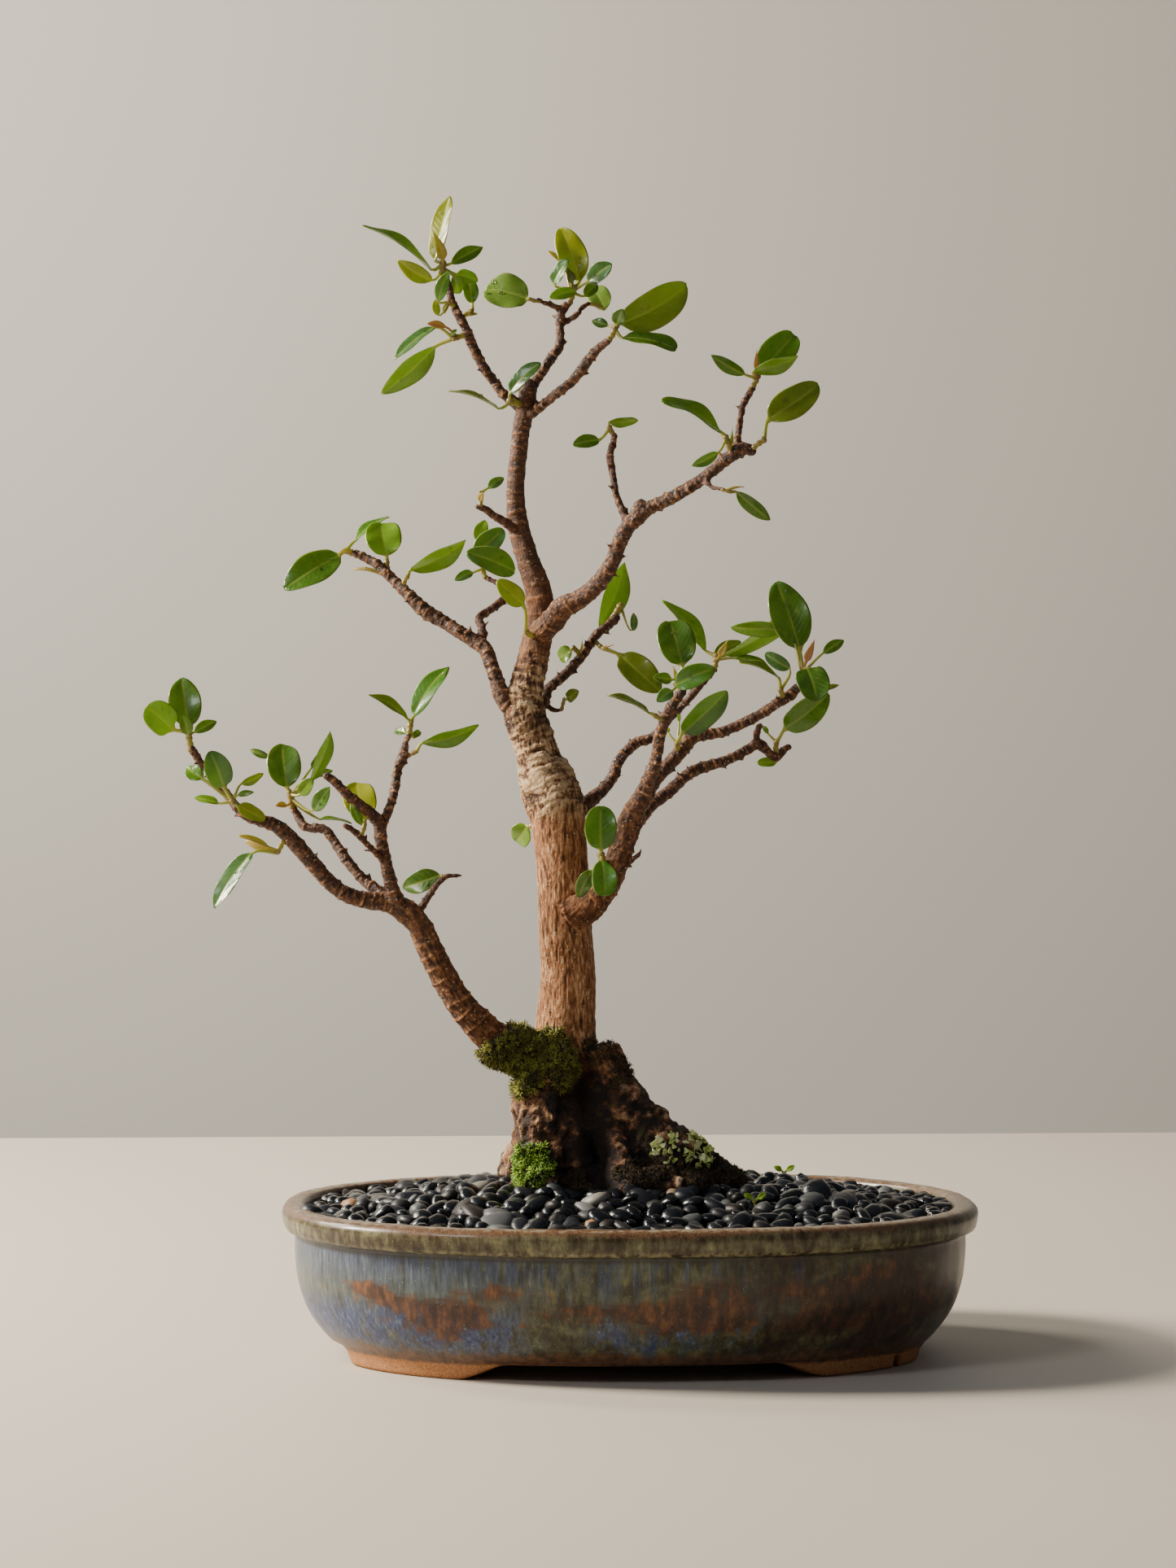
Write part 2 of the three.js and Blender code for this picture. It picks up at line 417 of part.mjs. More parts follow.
// Each shoot grows on a bough. Its stem is [root inside the wood, tip, radius]. Each of its leaves is
// [heel of the blade, tip, width, turn about the midrib in degrees, form].
const SHOOTS = {
  low_left_tip_shoot: {
    on: 'low_left_limb',
    stem: [[-162, -34, 168], [-163, -34, 175], 1.4],
    leaves: [
      [[-169, -35, 176], [-178, -40, 184], 12, 0, ROUND],
      [[-163, -33, 177], [-166, -28, 195], 12, 0, OVAL],
      [[-161, -32, 175], [-153, -29, 179], 4.5, 0, SMALL],
      [[-163, -37, 174], [-165, -39, 181], 5, 0, SMALL],
    ],
  },
  low_left_bud_shoot: {
    on: 'low_left_limb',
    stem: [[-146, -31, 148], [-147, -37, 150], 1.3],
    leaves: [
      [[-150, -37, 155], [-155, -40, 168], 10, 0, OVAL],
      [[-144, -33, 156], [-136, -30, 160], 4, 50, LANCE],
      [[-145, -38, 152], [-139, -40, 153], 2.5, 0, SMALL],
      [[-152, -36, 149], [-161, -35, 151], 4.5, 30, LANCE],
      [[-145, -37, 148], [-135, -36, 143], 6, -10, OVAL],
      [[-158, -35, 158], [-164, -31, 162], 6, 0, OVAL],
    ],
  },
  low_left_hanging_leaf: {
    on: 'low_left_limb',
    stem: [[-128, -28, 137], [-131, -29, 131], 1.2],
    leaves: [
      [[-140, -32, 131], [-154, -38, 111], 9.5, 35, LANCE],
      [[-134, -31, 133], [-145, -35, 137], 4, 45, SMALL],
    ],
  },
  low_left_middle_shoot: {
    on: 'low_left_limb',
    stem: [[-126, -5, 147], [-127, -6, 153], 1.3],
    leaves: [
      [[-128, -6, 155], [-130, 3, 171], 13, 0, OVAL],
      [[-119, -9, 157], [-112, -13, 176], 8, 55, LANCE],
      [[-123, -10, 152], [-118, -13, 158], 5.5, 0, SMALL],
      [[-119, -1, 162], [-115, 0, 168], 3, 0, SMALL],
      [[-135, 1, 166], [-142, 3, 169], 3, -20, SMALL],
      [[-118, -12, 146], [-112, -18, 155], 6, 0, LANCE],
    ],
  },
  low_left_inner_shoot: {
    on: 'low_left_limb',
    stem: [[-101, -38, 136], [-99, -36, 141], 1],
    leaves: [
      [[-99, -33, 143], [-102, -20, 157], 12.5, 0, OVAL],
    ],
  },
  low_left_top_shoot: {
    on: 'low_left_limb',
    stem: [[-83, -18, 173], [-82, -17, 179], 1.2],
    leaves: [
      [[-81, -16, 181], [-68, -11, 200], 9, -25, LANCE],
      [[-83, -20, 180], [-98, -23, 189], 6.5, 40, LANCE],
      [[-84, -15, 175], [-88, -9, 176], 4, 0, SMALL],
    ],
  },
  low_left_top_side_leaf: {
    on: 'low_left_limb',
    stem: [[-85, -21, 165], [-80, -22, 168], 1],
    leaves: [
      [[-78, -23, 171], [-57, -29, 177], 8, 60, LANCE],
    ],
  },
  low_left_twig_leaf: {
    on: 'low_left_limb',
    stem: [[-68, -12, 122], [-69, -8, 121], 0.9],
    leaves: [
      [[-71, -7, 122], [-85, 0, 117], 9, 0, LANCE],
    ],
  },
  upper_left_tip_shoot: {
    on: 'upper_left_limb',
    stem: [[-102, 25, 243], [-107, 26, 245], 1.3],
    leaves: [
      [[-109, 24, 243], [-130, 18, 230], 13.5, 10, OVAL],
      [[-103, 30, 249], [-90, 38, 259], 6, -40, LANCE],
    ],
  },
  upper_left_fold_leaf: {
    on: 'upper_left_limb',
    stem: [[-90, 21, 236], [-91, 22, 241], 1.1],
    leaves: [
      [[-91, 22, 243], [-93, 29, 256], 14, 0, ROUND],
    ],
  },
  upper_left_arch_leaf: {
    on: 'upper_left_limb',
    stem: [[-85, 18, 230], [-83, 17, 235], 1.1],
    leaves: [
      [[-82, 17, 237], [-61, 10, 248], 10, 60, LANCE],
    ],
  },
  upper_left_back_shoot: {
    on: 'upper_left_limb',
    stem: [[-53, 34, 235], [-54, 34, 240], 1.1],
    leaves: [
      [[-56, 40, 249], [-53, 43, 258], 5.5, 0, LANCE],
      [[-57, 35, 244], [-46, 39, 254], 9, 0, OVAL],
      [[-42, 26, 237], [-61, 21, 244], 10.5, 0, OVAL],
      [[-58, 32, 237], [-65, 30, 234], 4, 0, SMALL],
    ],
  },
  trunk_front_leaf: {
    on: ['trunk', 'upper_right_limb'],
    stem: [[-35, 3, 211], [-39, -3, 213], 1.2],
    leaves: [
      [[-40, -5, 223], [-50, -8, 232], 8, 0, OVAL],
    ],
  },
  trunk_spur_shoot: {
    on: 'trunk_left_spur',
    stem: [[-56, 0, 260], [-56, 0, 265], 1],
    leaves: [
      [[-53, 1, 267], [-47, 3, 271], 4, 0, SMALL],
    ],
  },
  crown_left_shoot: {
    on: 'crown_left_branch',
    stem: [[-70, -8, 345], [-70, -9, 350], 1.3],
    leaves: [
      [[-73, -8, 351], [-67, -1, 376], 10, -40, LANCE],
      [[-74, -10, 347], [-100, -16, 363], 12, 55, LANCE],
      [[-70, -11, 351], [-74, -13, 361], 4, 0, SPEAR],
      [[-67, -7, 350], [-55, -4, 357], 6, 0, LANCE],
      [[-74, -11, 343], [-87, -14, 350], 6.5, -30, LANCE],
      [[-65, -6, 346], [-57, -3, 344], 5.5, 0, OVAL],
    ],
  },
  crown_left_front_leaf: {
    on: 'crown_left_branch',
    stem: [[-66, -8, 334], [-68, -12, 335], 1],
    leaves: [
      [[-72, -13, 335], [-68, -17, 346], 5, 0, LANCE],
      [[-72, -12, 330], [-73, -11, 336], 3, 0, SMALL],
    ],
  },
  crown_left_dark_leaf: {
    on: 'crown_left_branch',
    stem: [[-63, -6, 330], [-59, -4, 333], 1],
    leaves: [
      [[-59, -2, 336], [-61, 2, 346], 6, 0, OVAL],
    ],
  },
  crown_left_low_shoot: {
    on: 'crown_left_branch',
    stem: [[-61, -5, 324], [-66, -8, 322], 1.3],
    leaves: [
      [[-73, -10, 326], [-88, -14, 313], 7, 35, LANCE],
      [[-73, -6, 319], [-93, 2, 302], 10, -45, LANCE],
    ],
  },
  crown_fork_leaves: {
    on: ['trunk', 'crown_left_branch'],
    stem: [[-40, 2, 298], [-45, -5, 299], 1.4],
    leaves: [
      [[-45, -7, 302], [-34, -11, 313], 7, -20, OVAL],
      [[-49, -7, 296], [-68, -11, 303], 7.5, 60, LANCE],
    ],
  },
  crown_round_leaf: {
    on: 'crown_middle_branch',
    stem: [[-33, 10, 338.5], [-37, 9, 339], 0.9],
    leaves: [
      [[-38, 9, 339], [-54, 14, 343], 14, 0, ROUND],
    ],
  },
  crown_middle_shoot: {
    on: 'crown_middle_branch',
    stem: [[-22, 14, 338], [-20, 13, 344], 1.4],
    leaves: [
      [[-18, 15, 347], [-25, 21, 368], 11.5, 0, OVAL],
      [[-28, 11, 345], [-23, 8, 354], 6.5, -30, OVAL],
      [[-15, 11, 346], [-6, 6, 352], 7.5, 0, OVAL],
      [[-20, 9, 342], [-30, 6, 339], 5, 0, OVAL],
      [[-16, 15, 341], [-11, 18, 346], 5, 0, SMALL],
      [[-21, 11, 346], [-23, 8, 351], 3.5, 0, SPEAR],
    ],
  },
  crown_middle_side_leaf: {
    on: 'crown_middle_branch',
    stem: [[-15, 21, 339], [-10, 22, 338], 0.9],
    leaves: [
      [[-8, 23, 337], [-13, 33, 347], 9, 0, OVAL],
    ],
  },
  crown_right_shoot: {
    on: 'crown_right_branch',
    stem: [[-9, -20, 320], [-6, -19, 326], 1.3],
    leaves: [
      [[-4, -17, 327], [21, -11, 342], 15, 35, OVAL],
      [[-6, -21, 326], [-4, -26, 331], 5.5, 0, SMALL],
      [[-9, -17, 326], [-15, -15, 328], 4, 0, SMALL],
      [[-4, -21, 321], [16, -26, 317], 10, -35, BLUNT],
    ],
  },
  upper_right_top_shoot: {
    on: 'upper_right_limb',
    stem: [[43, -26, 301], [46, -25, 307], 1.3],
    leaves: [
      [[47, -24, 309], [60, -20, 323], 12.5, 0, ROUND],
      [[44, -29, 308], [60, -35, 313], 7.5, 60, LANCE],
      [[41, -27, 307], [28, -31, 314], 5.5, -45, LANCE],
    ],
  },
  upper_right_side_leaf: {
    on: 'upper_right_limb',
    stem: [[42, -35, 278], [47, -37, 282], 1.2],
    leaves: [
      [[49, -35, 290], [68, -30, 303], 12, 0, OVAL],
    ],
  },
  upper_right_left_shoot: {
    on: 'upper_right_limb',
    stem: [[35, -34, 276], [33, -37, 283], 1.3],
    leaves: [
      [[31, -37, 285], [9, -42, 296], 13, 45, OVAL],
      [[30, -40, 277], [20, -42, 272], 4.5, -40, LANCE],
    ],
  },
  upper_right_low_leaf: {
    on: 'upper_right_limb',
    stem: [[31.5, -36.5, 264], [35, -37, 263], 0.8],
    leaves: [
      [[37, -36, 263], [50, -32, 253], 6, 40, LANCE],
    ],
  },
  upper_right_inner_shoot: {
    on: 'upper_right_limb',
    stem: [[-6, -10, 285], [-8, -10, 289], 1.1],
    leaves: [
      [[-8, -9, 291], [3, -6, 292], 5, 60, LANCE],
      [[-12, -11, 284], [-22, -13, 282], 5.5, 0, OVAL],
    ],
  },
  short_right_shoot: {
    on: 'short_right_branch',
    stem: [[-4, 33, 219], [-1, 35, 225], 1.4],
    leaves: [
      [[-9, 39, 216], [1, 46, 242], 11, 35, LANCE],
      [[4, 37, 215], [4, 38, 222], 3, 0, SMALL],
    ],
  },
  short_right_round_leaf: {
    on: 'short_right_branch',
    stem: [[-17, 23, 204], [-20, 20, 208], 1],
    leaves: [
      [[-21, 20, 207], [-25, 25, 204], 6.5, 0, ROUND],
    ],
  },
  short_right_side_leaf: {
    on: 'short_right_branch',
    stem: [[-12, 27, 211], [-9, 24, 208], 1],
    leaves: [
      [[-2, 22, 205], [13, 16, 191], 12, 0, OVAL],
    ],
  },
  short_right_bud_leaf: {
    on: 'short_right_branch',
    stem: [[-25, 10, 184], [-24, 9, 188], 0.8],
    leaves: [
      [[-23, 8, 188], [-19, 3, 191], 5, 0, OVAL],
    ],
  },
  low_right_front_shoot: {
    on: 'low_right_limb',
    stem: [[17, -39, 189], [17, -38, 196], 1.4],
    leaves: [
      [[17, -37, 200], [13, -30, 216], 14, 0, ROUND],
      [[13, -41, 194], [6, -43, 195], 4.5, 0, SMALL],
      [[14, -44, 192], [28, -48, 198], 8.5, 10, OVAL],
      [[13, -44, 190], [7, -46, 186], 5, 0, SMALL],
    ],
  },
  low_right_arch_leaf: {
    on: 'low_right_limb',
    stem: [[11, -36, 179], [7, -38, 181], 1],
    leaves: [
      [[5, -39, 182], [-11, -41, 188], 8, 55, LANCE],
    ],
  },
  low_right_rear_leaf: {
    on: 'low_right_limb',
    stem: [[17, -20, 168], [16, -26, 171], 1.1],
    leaves: [
      [[18, -28, 175], [34, -34, 190], 11, 40, OVAL],
    ],
  },
  rear_right_shoot: {
    on: 'rear_right_branch',
    stem: [[34, 25, 199], [35, 25, 205], 1.3],
    leaves: [
      [[31, 27, 207], [15, 34, 227], 9.5, 35, LANCE],
      [[38, 24, 205], [69, 22, 225], 11, 65, LANCE],
      [[34, 28, 205], [45, 31, 211], 6, 0, LANCE],
      [[42, 21, 204], [54, 18, 201], 5, -30, LANCE],
      [[36, 22, 205], [39, 20, 211], 3, 0, SPEAR],
    ],
  },
  low_right_tip_shoot: {
    on: 'low_right_limb',
    stem: [[62, -13, 191], [64, -13, 198], 1.4],
    leaves: [
      [[63, -9, 207], [55, -2, 232], 15, 0, OVAL],
      [[58, -6, 214], [38, 0, 215], 6.5, -40, LANCE],
      [[72, -10, 205], [80, -8, 210], 4.5, 0, SMALL],
      [[65, -17, 199], [68, -26, 187], 12.5, 0, ROUND],
      [[65, -16, 202], [68, -18, 210], 3, 0, SPEAR],
    ],
  },
  low_right_fold_leaves: {
    on: 'low_right_limb',
    stem: [[57, -14, 188], [55, -19, 191], 1.1],
    leaves: [
      [[54, -19, 196], [39, -22, 201], 8.5, 55, OVAL],
      [[59, -14, 199], [50, -11, 205], 5.5, -25, OVAL],
    ],
  },
  under_branch_leaf: {
    on: 'low_right_limb',
    stem: [[56, 6, 167], [56, 4, 172], 1.1],
    leaves: [
      [[59, 2, 177], [75, -4, 190], 11, 15, OVAL],
    ],
  },
  fork_front_leaves: {
    on: 'low_right_limb',
    stem: [[-10, -16, 121], [-12, -24, 130], 1.4],
    leaves: [
      [[-12, -25, 132], [-12, -24, 148], 12, 0, ROUND],
      [[-12, -27, 128], [-11, -33, 115], 9.5, 0, BLUNT],
      [[-15, -21, 124], [-20, -18, 114], 6, 0, OVAL],
    ],
  },
  trunk_left_leaf: {
    on: 'trunk',
    stem: [[-33, 5, 140], [-37, 11, 140], 1],
    leaves: [
      [[-38, 12, 140], [-42, 19, 134], 9, 0, ROUND],
    ],
  },
};

// A limb's own solid, or with grow the space that its neighbours keep clear of.
const trunkWood = (grow = 0) => join([
  limb(TRUNK, { sides: 9, grow }),
  ...ROOTS.map((root) => limb(root, { sides: 8, grow })),
]);
const boughWood = (name, grow = 0) => join(BOUGHS[name].limbs.map((path) => limb(path, { sides: path[0][3] > 4 ? 7 : 5, grow })));
const wood = (name, grow = 0) => (name === 'trunk' ? trunkWood(grow) : boughWood(name, grow));

function bough(name, finished) {
  return cut(boughWood(name), BOUGHS[name].from.concat(finished).map((other) => wood(other, CLEARANCE)));
}

// ---------------------------------------------------------------- leaves
const LIGHT = new THREE.Vector3(0, -1, 0.3); // the way most blades face

// One leaf with its petiole: a thin blade, widest by its form, folded up a little along the midrib.
function leaf(start, [base, tip, width, turn, form]) {
  const heel = place(base);
  const point = place(tip);
  const way = point.clone().sub(heel).normalize();
  const face = LIGHT.clone().addScaledVector(way, -LIGHT.dot(way)).normalize();
  face.applyAxisAngle(way, THREE.MathUtils.degToRad(turn));
  const length = heel.distanceTo(point);
  const section = (centre, along, halfWidth, halfThickness, fold) => {
    const up = face.clone().addScaledVector(along, -face.dot(along)).normalize();
    const side = up.clone().cross(along);
    return [
      centre.clone().addScaledVector(side, halfWidth).addScaledVector(up, fold),
      centre.clone().addScaledVector(up, halfThickness),
      centre.clone().addScaledVector(side, -halfWidth).addScaledVector(up, fold),
      centre.clone().addScaledVector(up, -halfThickness),
    ];
  };
  const petiole = PETIOLE_DIAMETER / 2;
  const outward = heel.clone().sub(start).normalize();
  const bend = outward.clone().add(way).normalize();
  const rings = [section(start, outward, petiole, petiole, 0), section(heel, bend, petiole, petiole, 0)];
  form.forEach(([share, breadth]) => {
    const halfWidth = (breadth * width * TREE_SCALE) / 2;
    const hump = LEAF_ARCH * length * Math.sin(Math.PI * share);
    const centre = heel.clone().lerp(point, share).addScaledVector(face, hump);
    rings.push(section(centre, way, halfWidth, LEAF_THICKNESS / 2, halfWidth * LEAF_FOLD));
  });
  return loft(rings);
}

// A shoot's leaves leave its stem one below the other, the first at the very tip.
function shoot(name) {
  const { on, stem: [root, tip, radius], leaves } = SHOOTS[name];
  const stem = limb([[...root, radius / 2], [...tip, radius]], { sides: 5 });
  const blades = leaves.map((blade, i) => leaf(place(tip).lerp(place(root), i * LEAF_SPACING), blade));
  return cut(join([stem, ...blades]), [on].flat().map((other) => wood(other, CLEARANCE)));
}

// ---------------------------------------------------------------- filling and growth on the wood
function soil(roots) {
  const sides = levels(FLOOR_TOP + CLEARANCE, SOIL_TOP, 3).map((z) => oval(innerInset(z) + CLEARANCE + 0.2, z));
  return cut(loft(sides), [roots, ...DRAIN_PLACES.map(meshSpace)]);
}

// The bed of pebbles, rising in a low mound from its edge to the roots.
function pebbleBed(roots) {
  const edge = POT_HEIGHT - PEBBLES_BELOW_RIM;
  const margin = LIP_WIDTH + POT_WALL;
  const rings = [
    oval(innerInset(SOIL_TOP) + 1, SOIL_TOP + CLEARANCE),
    oval(innerInset(LIP_BOTTOM) + 0.6, edge - 4),
    oval(LIP_WIDTH + 3, edge),
  ];
  [0.35, 0.75].forEach((share) => {
    const reach = margin + share * (POT_DEPTH / 2 - margin);
    rings.push(oval(reach, edge + PEBBLE_MOUND * THREE.MathUtils.smoothstep(share, 0, 0.8)));
  });
  return cut(loft(rings), [roots]);
}

// A layer of even thickness that follows the wood inside a few overlapping rounded patches.
function growth(patches, hosts, thickness) {
  const area = join(patches.map(([x, y, z, alongX, alongY, alongZ]) => {
    const patch = new THREE.IcosahedronGeometry(1, 1);
    patch.scale(alongX * TREE_SCALE, alongY * TREE_SCALE, alongZ * TREE_SCALE);
    const centre = place([x, y, z]);
    patch.translate(centre.x, centre.y, centre.z);
    return solidOf(patch);
  }));
  const outer = join(hosts.map((host) => wood(host, thickness)));
  return cut(area.intersect(outer), hosts.map((host) => wood(host, CLEARANCE)));
}

// ---------------------------------------------------------------- the whole
const FINISHES = {
  glaze: { color: 0x5f6a55, roughness: 0.35, metalness: 0 },
  soil: { color: 0x3a2a1e, roughness: 1, metalness: 0 },
  pebble: { color: 0x23262a, roughness: 0.25, metalness: 0 },
  mesh: { color: 0x1c1c1c, roughness: 0.6, metalness: 0 },
  bark: { color: 0x8a5a3a, roughness: 0.7, metalness: 0 },
  leaf: { color: 0x4f8a2a, roughness: 0.35, metalness: 0 },
  moss: { color: 0x5c6b1e, roughness: 1, metalness: 0 },
  lichen: { color: 0x9aa872, roughness: 1, metalness: 0 },
};

const plant = new THREE.Group();

function add(name, solid, finish) {
  const mesh = new THREE.Mesh(geometryOf(solid), new THREE.MeshStandardMaterial(FINISHES[finish]));
  mesh.name = name;
  plant.add(mesh);
}

const rootSpace = trunkWood(CLEARANCE);
add('pot', pot(), 'glaze');
add('drainage_mesh_left', drainageMesh(DRAIN_PLACES[0]), 'mesh');
add('drainage_mesh_right', drainageMesh(DRAIN_PLACES[1]), 'mesh');
add('soil', soil(rootSpace), 'soil');
add('pebble_layer', pebbleBed(rootSpace), 'pebble');
add('trunk', trunkWood(), 'bark');
Object.keys(BOUGHS).forEach((name, i, names) => {
  const crown = name.startsWith('crown') ? names.slice(0, i).filter((other) => other.startsWith('crown')) : [];
  add(name, bough(name, crown), 'bark');
});
add('moss_collar', growth(MOSS_COLLAR, ['trunk', 'low_left_limb'], MOSS_THICKNESS), 'moss');
add('moss_foot', growth(MOSS_FOOT, ['trunk'], MOSS_THICKNESS), 'moss');
add('lichen_patch', growth(LICHEN_PATCH, ['trunk'], LICHEN_THICKNESS), 'lichen');
Object.keys(SHOOTS).forEach((name) => add(name, shoot(name), 'leaf'));

const middle = new THREE.Box3().setFromObject(plant, true).getCenter(new THREE.Vector3());
plant.children.forEach((piece) => piece.geometry.translate(-middle.x, -middle.y, 0));

export default plant;
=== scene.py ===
import math
import random

import bpy
import numpy as np
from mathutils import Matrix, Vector, noise


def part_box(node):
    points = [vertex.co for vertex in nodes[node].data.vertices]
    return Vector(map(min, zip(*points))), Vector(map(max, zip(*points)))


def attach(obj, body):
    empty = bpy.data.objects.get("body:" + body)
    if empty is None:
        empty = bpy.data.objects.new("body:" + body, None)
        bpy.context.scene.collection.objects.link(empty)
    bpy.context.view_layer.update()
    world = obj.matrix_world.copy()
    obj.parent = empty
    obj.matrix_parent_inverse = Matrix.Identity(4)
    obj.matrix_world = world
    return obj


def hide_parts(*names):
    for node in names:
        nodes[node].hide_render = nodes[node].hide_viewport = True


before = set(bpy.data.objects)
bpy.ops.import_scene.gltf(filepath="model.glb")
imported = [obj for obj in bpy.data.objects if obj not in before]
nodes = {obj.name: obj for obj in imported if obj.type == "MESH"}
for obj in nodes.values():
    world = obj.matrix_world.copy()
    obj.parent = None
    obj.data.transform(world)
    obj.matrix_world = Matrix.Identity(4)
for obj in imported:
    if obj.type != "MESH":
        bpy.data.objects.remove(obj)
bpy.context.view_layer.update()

MM = 0.001


# ---------------------------------------------------------------- sizes shared with the solid model
RIM = 56  # the rim's height above the table
LIP_BOTTOM = 46.5
LIP_WIDTH = 9
LIP_OVERHANG = 4.7
BASE_INSET = 18.5
WALL = 6
FOOT_HEIGHT = 6
FLOOR_TOP = 12
OUTLINE_POWER = 2.35
BELLY_POWER = 3.1
pot_low, pot_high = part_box("pot")
POT_LENGTH = (pot_high.x - pot_low.x) / MM
POT_DEPTH = (pot_high.y - pot_low.y) / MM
# The tables are drawn from the pot's middle, and pieces are moved from there to the frame.
POT_MIDDLE = np.array([(pot_low.x + pot_high.x) / 2, (pot_low.y + pot_high.y) / 2, 0]) / MM

# ---------------------------------------------------------------- camera, light and floor
CAMERA_PLACE = (POT_MIDDLE[0] * MM - 0.0897, -1.4152, 0.212)
FILM_HEIGHT = 36
CAMERA_TURN_DEG = -3
LENS = 86.7
FLOOR_BACK = 0.86  # the floor's far edge, in metres
FLOOR_REACH = 4
WALL_BACK = 2.6  # far enough for a camera to stand in front of it
WALL_HEIGHTS = (-1, 3)


def add_camera():
    data = bpy.data.cameras.new("camera")
    data.lens = LENS
    data.sensor_width = FILM_HEIGHT
    data.clip_end = 20
    camera = bpy.data.objects.new("camera", data)
    camera.location = CAMERA_PLACE
    camera.rotation_euler = (math.radians(90), 0, math.radians(CAMERA_TURN_DEG))
    bpy.context.scene.collection.objects.link(camera)
    bpy.context.scene.camera = camera


def add_light(name, place, size, power, colour, target=(-0.02, 0, 0.22)):
    data = bpy.data.lights.new(name, "AREA")
    data.size = size
    data.energy = power
    data.color = colour
    light = bpy.data.objects.new(name, data)
    light.location = place
    way = Vector(target) - Vector(place)
    light.rotation_euler = way.to_track_quat("-Z", "Y").to_euler()
    bpy.context.scene.collection.objects.link(light)


add_camera()


# ---------------------------------------------------------------- node materials
class Wire:
    """A socket in a finish's node tree. Arithmetic on it adds Math nodes."""

    def __init__(self, finish, socket):
        self.finish = finish
        self.socket = socket

    def maths(self, operation, *values):
        return self.finish.node("ShaderNodeMath", {"operation": operation}, dict(enumerate(values)))

    def __add__(self, other):
        return self.maths("ADD", self, other)

    def __sub__(self, other):
        return self.maths("SUBTRACT", self, other)

    def __mul__(self, other):
        return self.maths("MULTIPLY", self, other)

    def __truediv__(self, other):
        return self.maths("DIVIDE", self, other)

    def __rsub__(self, other):
        return self.maths("SUBTRACT", other, self)

    def __abs__(self):
        return self.maths("ABSOLUTE", self)

    __radd__ = __add__
    __rmul__ = __mul__

    def fraction(self):
        return self.maths("FRACT", self)

    def greatest(self, other):
        return self.maths("MAXIMUM", self, other)


class Finish:
    """A material under construction around one Principled shader."""

    def __init__(self, name, constants):
        self.material = bpy.data.materials.new(name)
        self.material.use_nodes = True
        self.tree = self.material.node_tree
        self.shader = self.tree.nodes["Principled BSDF"]
        for socket, value in constants.items():
            self.shader.inputs[socket].default_value = value

    def node(self, kind, settings=None, sockets=None, out=0):
        made = self.tree.nodes.new(kind)
        for key, value in (settings or {}).items():
            if key == "stops":
                self.set_stops(made.color_ramp, value)
            else:
                setattr(made, key, value)
        for key, value in (sockets or {}).items():
            self.join(value, made.inputs[key])
        return Wire(self, made.outputs[out])

    def join(self, value, socket):
        if isinstance(value, Wire):
            self.tree.links.new(value.socket, socket)
        elif socket.type == "RGBA" and len(value) == 3:
            socket.default_value = (*value, 1)
        else:
            socket.default_value = value

    def set_stops(self, ramp, stops):
        while len(ramp.elements) < len(stops):
            ramp.elements.new(1)
        for element, (place, colour) in zip(ramp.elements, stops):
            element.position = place
            element.color = (*colour, 1)

    def surface(self, **values):
        for name, value in values.items():
            self.join(value, self.shader.inputs[name.replace("_", " ").title()])
        return self.material

    def place(self):
        """Object coordinates in millimetres."""
        return self.scaled(self.node("ShaderNodeTexCoord", out="Object"), (1000, 1000, 1000))

    def attribute(self, name, out="Vector"):
        return self.node("ShaderNodeAttribute", {"attribute_name": name}, out=out)

    def scaled(self, vector, factors):
        return self.node("ShaderNodeVectorMath", {"operation": "MULTIPLY"}, {0: vector, 1: factors})

    def moved(self, vector, step):
        return self.node("ShaderNodeVectorMath", {"operation": "ADD"}, {0: vector, 1: step})

    def parts(self, vector):
        split = self.node("ShaderNodeSeparateXYZ", sockets={0: vector})
        return [Wire(self, socket) for socket in split.socket.node.outputs]

    def noise(self, vector, scale, detail=3.0, roughness=0.55, distortion=0.0):
        sockets = {"Vector": vector, "Scale": scale, "Detail": detail, "Roughness": roughness,
                   "Distortion": distortion}
        return self.node("ShaderNodeTexNoise", sockets=sockets)

    def cells(self, vector, scale, feature="F1"):
        sockets = {"Vector": vector, "Scale": scale}
        return self.node("ShaderNodeTexVoronoi", {"feature": feature}, sockets, "Distance")

    def ramp(self, value, stops):
        return self.node("ShaderNodeValToRGB", {"stops": stops}, {0: value})

    def step(self, value, low, high):
        """0 below low, 1 above high, smooth between."""
        sockets = {"Value": value, "From Min": low, "From Max": high}
        return self.node("ShaderNodeMapRange", {"interpolation_type": "SMOOTHSTEP"}, sockets)

    def blend(self, share, first, second):
        """The first colour where share is 0 and the second where it is 1."""
        return self.node("ShaderNodeMix", {"data_type": "RGBA"}, {0: share, 6: first, 7: second}, 2)

    def bump(self, height, depth, strength=1.0):
        """A normal from a height between 0 and 1, which stands for depth millimetres."""
        sockets = {"Height": height, "Distance": depth * MM, "Strength": strength}
        return self.node("ShaderNodeBump", sockets=sockets)


# ---------------------------------------------------------------- meshes
def plain_mesh(name, points, faces, material, smooth=True):
    """An object at the origin from points in millimetres."""
    mesh = bpy.data.meshes.new(name)
    mesh.from_pydata((np.asarray(points, float) * MM).tolist(), [],
                     [list(map(int, face)) for face in faces])
    mesh.materials.append(material)
    if smooth:
        mesh.shade_smooth()
    piece = bpy.data.objects.new(name, mesh)
    bpy.context.scene.collection.objects.link(piece)
    return piece


def keep(mesh, name, kind, values):
    """Stores one value a point on the mesh."""
    values = np.asarray(values, np.float32)
    field = {"FLOAT": "value", "FLOAT_VECTOR": "vector", "FLOAT_COLOR": "color"}[kind]
    mesh.attributes.new(name, kind, "POINT").data.foreach_set(field, values.ravel())


